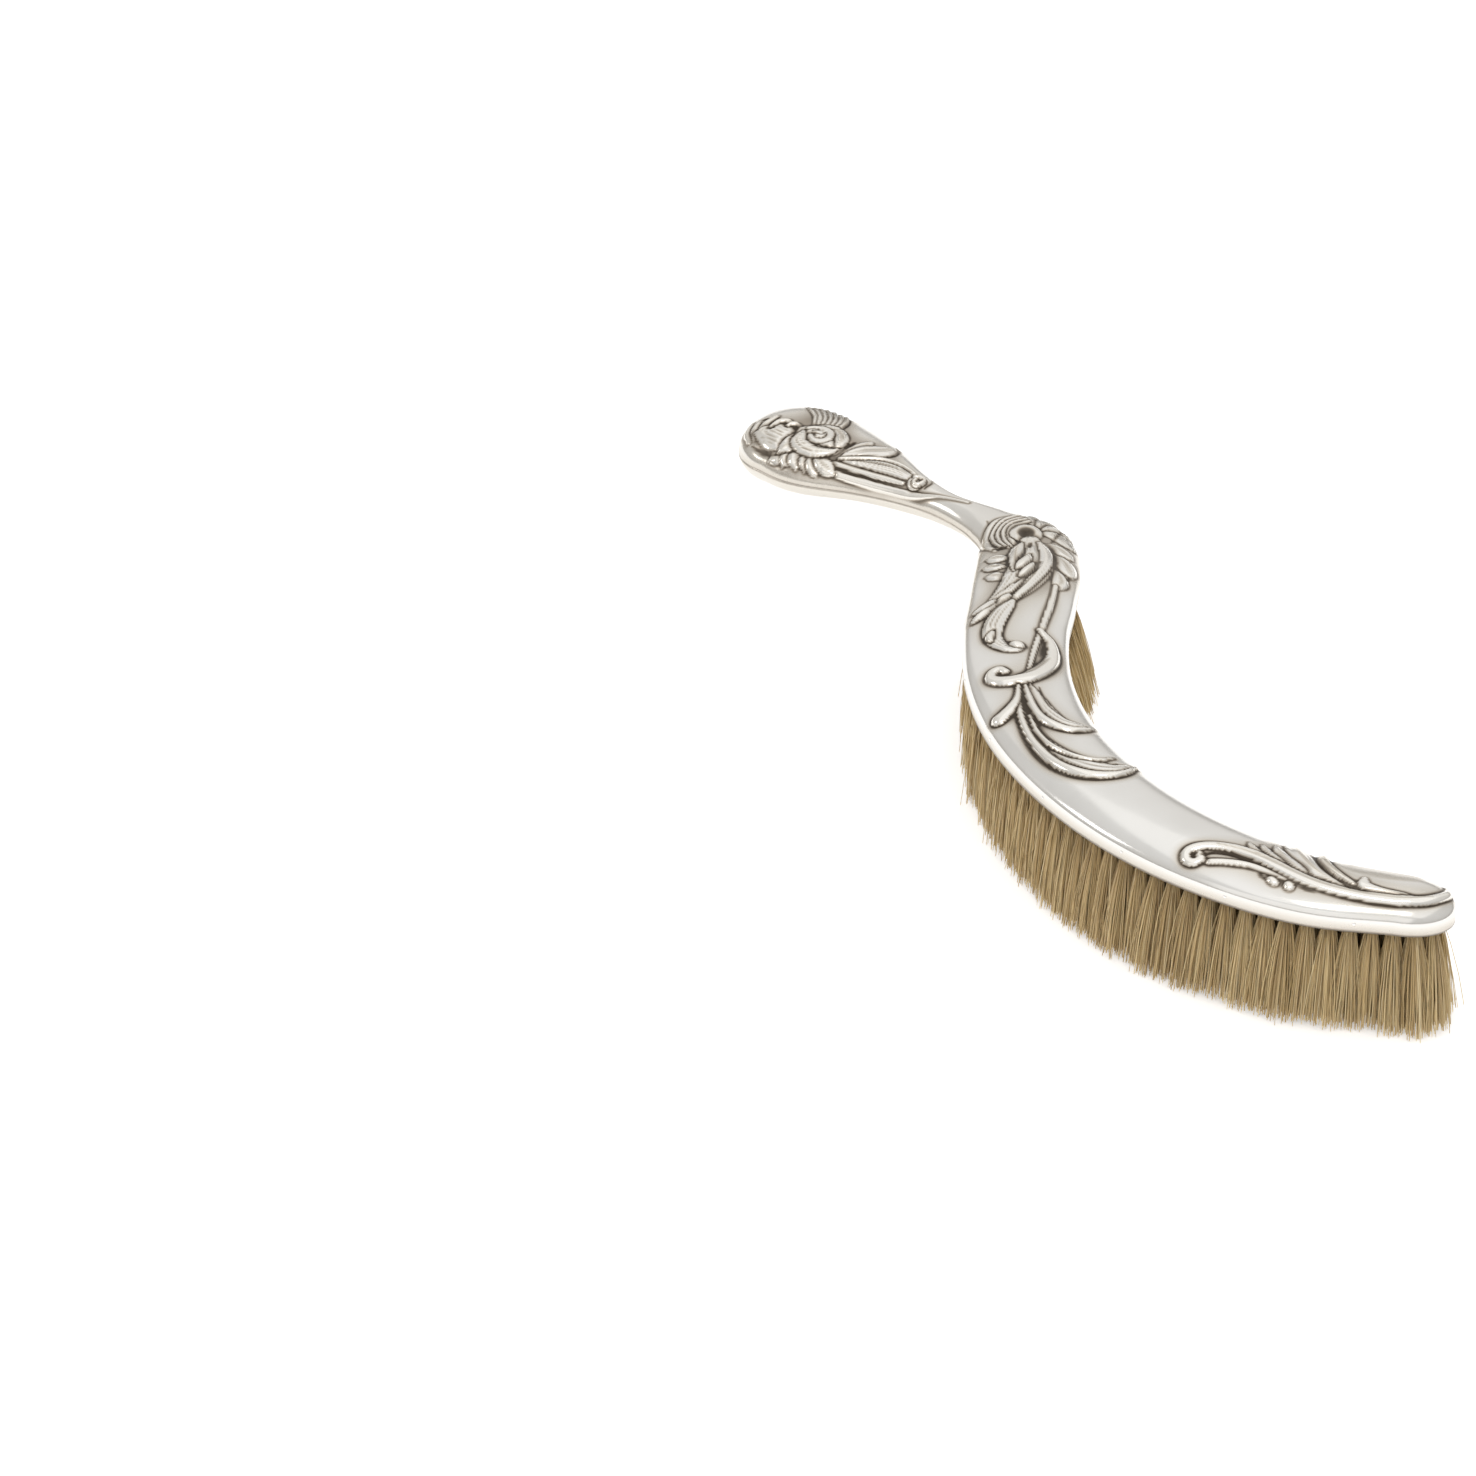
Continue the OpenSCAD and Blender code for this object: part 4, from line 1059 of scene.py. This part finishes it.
def grown(name, points, tree, **inputs):
    """Runs the tree on the points and keeps the result as a plain mesh."""
    mod = points.modifiers.new("grow", "NODES")
    mod.node_group = tree
    ids = {s.name: s.identifier for s in tree.interface.items_tree
           if s.item_type == "SOCKET" and s.in_out == "INPUT"}
    for key, value in inputs.items():
        mod[ids[key.replace("_", " ")]] = value
    graph = bpy.context.evaluated_depsgraph_get()
    me = bpy.data.meshes.new_from_object(points.evaluated_get(graph))
    me.name = name
    points.modifiers.remove(mod)
    bpy.data.objects.remove(points)
    me.polygons.foreach_set("use_smooth", [True] * len(me.polygons))
    return add_object(name, me)


# ---- tufts ---------------------------------------------------------------------------

BLOCK_Z = RIM_Z + SHEET
HAIRS = 225
HAIR_R = 0.11
HAIR_TRIANGLES = 20
PIECE_TRIANGLES = 196000
ROW_NAMES = ("near_edge", "near_inner", "middle", "far_inner", "far_edge")


def row_places(row):
    """For each tuft of a row: where it stands, how it leans, and its s.
    f is the row's share of the half width, from -1 at the near edge to 1 at the far one."""
    f = (row - 3) / 2
    share = 0.5 if abs(f) == 0.5 else 1
    gap = TUFT_PITCH / 2 if abs(f) == 1 else ROW_GAP_MIN
    body = np.linspace(TUFT_START, END, 400)
    angle = np.radians(np.linspace(0, 86, 60))[1:]
    half_end = at_line(np.array([END]))[2][0] - TUFT_INSET
    s = np.r_[body, END + half_end * TIP_ROUND * np.sin(angle)]
    half = np.r_[at_line(body)[2] - TUFT_INSET, half_end * np.cos(angle)]
    keep = half * share >= gap
    s, half = s[keep], half[keep]
    p = place(s, f * half, 0 * s)[:, :2]
    run = np.r_[0, np.cumsum(np.hypot(*np.diff(p, axis=0).T))]
    n = int(run[-1] // TUFT_PITCH)
    at = np.linspace(0, run[-1], n + 1)
    x, y, ts = (np.interp(at, run, v) for v in (p[:, 0], p[:, 1], s))
    tx, ty = at_line(ts)[3:]
    forward = END_LEAN * (ease((ts - END + 16) / 24) - 0.4 * ease((TUFT_START + 12 - ts) / 12))
    lean = np.stack([-ty * f * SIDE_LEAN + tx * forward, tx * f * SIDE_LEAN + ty * forward, 0 * ts], -1)
    # beside the handle the far rows spread outwards and the near rows are drawn in
    splay = FAR_SPLAY.get(f, 0) * ease((SPLAY_GONE - ts) / (SPLAY_GONE - SPLAY_FULL))
    splay = splay + NEAR_PULL.get(f, 0) * (1 - ease((ts - PULL_FULL) / (PULL_GONE - PULL_FULL)))
    lean = lean + np.stack([-ty * splay, tx * splay, 0 * ts], -1)
    return np.stack([x, y, 0 * x + BLOCK_Z], -1), lean, ts


def make_row(row, tree):
    """One row of tufts, its hairs as many as HAIRS and the limit on triangles allow."""
    at, lean, s = row_places(row)
    rng = np.random.default_rng(WOBBLE_SEED + row)
    wobble = rng.normal(0, TUFT_WOBBLE, (len(s), 3)) * (1, 1, 0)
    tip_end = ease((s - END + 26) / 30)
    outward = abs(row - 3) / 2
    points = seeded_points(f"row_{row}_points", at * MM, {
        "root_r": (TUFT_ROOT_R * (1 + 0 * s)) * MM,
        "tip_r": (TUFT_TIP_R + rng.uniform(*TIP_UNEVEN, len(s))) * MM,
        "lean": (lean + wobble) * MM,
        "length": (BLOCK_Z - FLOOR_GAP - SHORTEST_CUT * rng.uniform(0, 1, len(s)) ** 2) * MM,
        "pale": np.clip(0.15 * rng.uniform(-1, 1, len(s)) + 0.22 * tip_end * outward, -0.1, 0.8)})
    hairs = min(HAIRS, PIECE_TRIANGLES // (HAIR_TRIANGLES * len(s)))
    return grown(f"hair_{ROW_NAMES[row - 1]}", points, tree, Hairs=hairs, Hair_Radius=HAIR_R * MM,
                 Bend=0.0022, Flare=0.0013, Ragged=0.12, Stray=0.45, Seed=HAIR_SEED + row, Material=HAIR)


# ---- build ---------------------------------------------------------------------------

def paint(nodes, material):
    """Gives CAD nodes a material."""
    for name in nodes:
        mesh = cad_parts[name].data
        mesh.materials.clear()
        mesh.materials.append(material)


def finish_piece(ob, replaced, material=None):
    """Puts a piece on the body, in the place of the CAD nodes that it replaces."""
    if material:
        ob.data.materials.clear()
        ob.data.materials.append(material)
    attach(ob, "root")
    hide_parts(*replaced)


finish_piece(make_silver_back(), ["silver_back"], SILVER)
finish_piece(make_underside(), ["handle_underside"], SILVER)

pins_at, pins_out = [], []
for side in (-1, 1):
    for k in range(PIN_COUNT // 2):
        s_pin = mix(TURN_B + 5, END + 4, (k + 0.5) / (PIN_COUNT // 2))
        x, y, half, tx, ty = (v[0] for v in at_line(np.array([s_pin])))
        pins_at.append(((x - ty * side * half) * MM, (y + tx * side * half) * MM, (RIM_Z + PIN_UP) * MM))
        pins_out.append((-ty * side, tx * side, 0))
pin_points = seeded_points("pin_points", pins_at, {"lean": pins_out})
pin_heads = grown("rim_pin_heads", pin_points, make_pin_tree(), Radius=PIN_R * MM, Dome=PIN_DOME * MM,
                  Material=SILVER)
finish_piece(pin_heads, ["rim_pins"])

tuft_tree = make_tuft_tree()
for row in range(1, 6):
    finish_piece(make_row(row, tuft_tree), [f"bristle_row_{row}"])

paint(["bristle_block"], STOCK)
paint(["cover_board"], BOARD)
paint([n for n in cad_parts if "filling" in n], FILLING)
paint(["handle_tang", "tang_screws"], STEEL)
paint([f"draw_wire_{k}" for k in range(1, 6)], BRASS)

# ---- stage, lights and camera ------------------------------------------------------------

FLOOR_HALF, FLOOR_GLOW = 4.0, 0.42
floor_mesh = bpy.data.meshes.new("table_top")
floor_mesh.from_pydata([(-FLOOR_HALF, -FLOOR_HALF, 0), (FLOOR_HALF, -FLOOR_HALF, 0),
                        (FLOOR_HALF, FLOOR_HALF, 0), (-FLOOR_HALF, FLOOR_HALF, 0)], [], [(0, 1, 2, 3)])
floor = add_object("table_top", floor_mesh)
floor_paint, floor_tree, floor_shader = new_material("pale_floor")
fill(floor_tree, floor_shader, "Base Color", (0.88, 0.88, 0.88, 1))
fill(floor_tree, floor_shader, "Emission Color", (1, 1, 1, 1))
fill(floor_tree, floor_shader, "Emission Strength", FLOOR_GLOW)
fill(floor_tree, floor_shader, "Roughness", 0.9)
floor_mesh.materials.append(floor_paint)


def aim_at(ob, place_at, target):
    """Puts a light or camera somewhere and turns it to look at the target."""
    ob.location = place_at
    ob.rotation_euler = (Vector(target) - Vector(place_at)).to_track_quat("-Z", "Y").to_euler()


def soft_box(name, place_at, target, size, power):
    light = bpy.data.lights.new(name, "AREA")
    light.shape, light.size, light.size_y = "RECTANGLE", *size
    light.energy = power
    aim_at(add_object(name, light), place_at, target)


soft_box("over", (0.1, 0.1, 1.5), (0, 0, 0), (2.4, 2.0), 4.2)
soft_box("far_side", (-1.1, 1.0, 0.9), (0, 0, 0.02), (2.6, 1.4), 1.8)
soft_box("near_key", (0.45, -0.35, 1.2), (0, 0, 0.03), (0.5, 0.3), 1.3)
soft_box("left_key", (-0.7, -1.0, 0.7), (0, 0, 0.03), (0.4, 0.3), 0.9)
soft_box("near_fill", (0.9, -1.3, 0.8), (0, 0, 0.02), (2.0, 1.2), 2.4)

world = bpy.data.worlds.new("studio")
bpy.context.scene.world = world
world.use_nodes = True
wt = world.node_tree
sky_way = node(wt, "ShaderNodeTexCoord").outputs["Generated"]
height = node(wt, "ShaderNodeSeparateXYZ", None, Vector=sky_way).outputs["Z"]
sky = ramp(wt, height, [(0.0, (0.40, 0.385, 0.365)), (0.12, (0.56, 0.545, 0.525)),
                        (0.25, (0.68, 0.67, 0.655)), (0.6, (0.72, 0.715, 0.705)),
                        (0.8, (0.80, 0.80, 0.795)), (1.0, (0.76, 0.76, 0.76))])
background = wt.nodes["Background"]
wt.links.new(sky, background.inputs["Color"])
background.inputs["Strength"].default_value = 1.0

camera_data = bpy.data.cameras.new("view")
camera_data.sensor_width = 36.0
camera_data.lens = 94.15
camera_data.clip_start, camera_data.clip_end = 0.05, 20.0
camera = add_object("view", camera_data)
aim_at(camera, (0.7528, -0.5516, 0.5630), (-0.00755, -0.09475, 0.030))
bpy.context.scene.camera = camera
bpy.context.scene.view_settings.view_transform = "Standard"
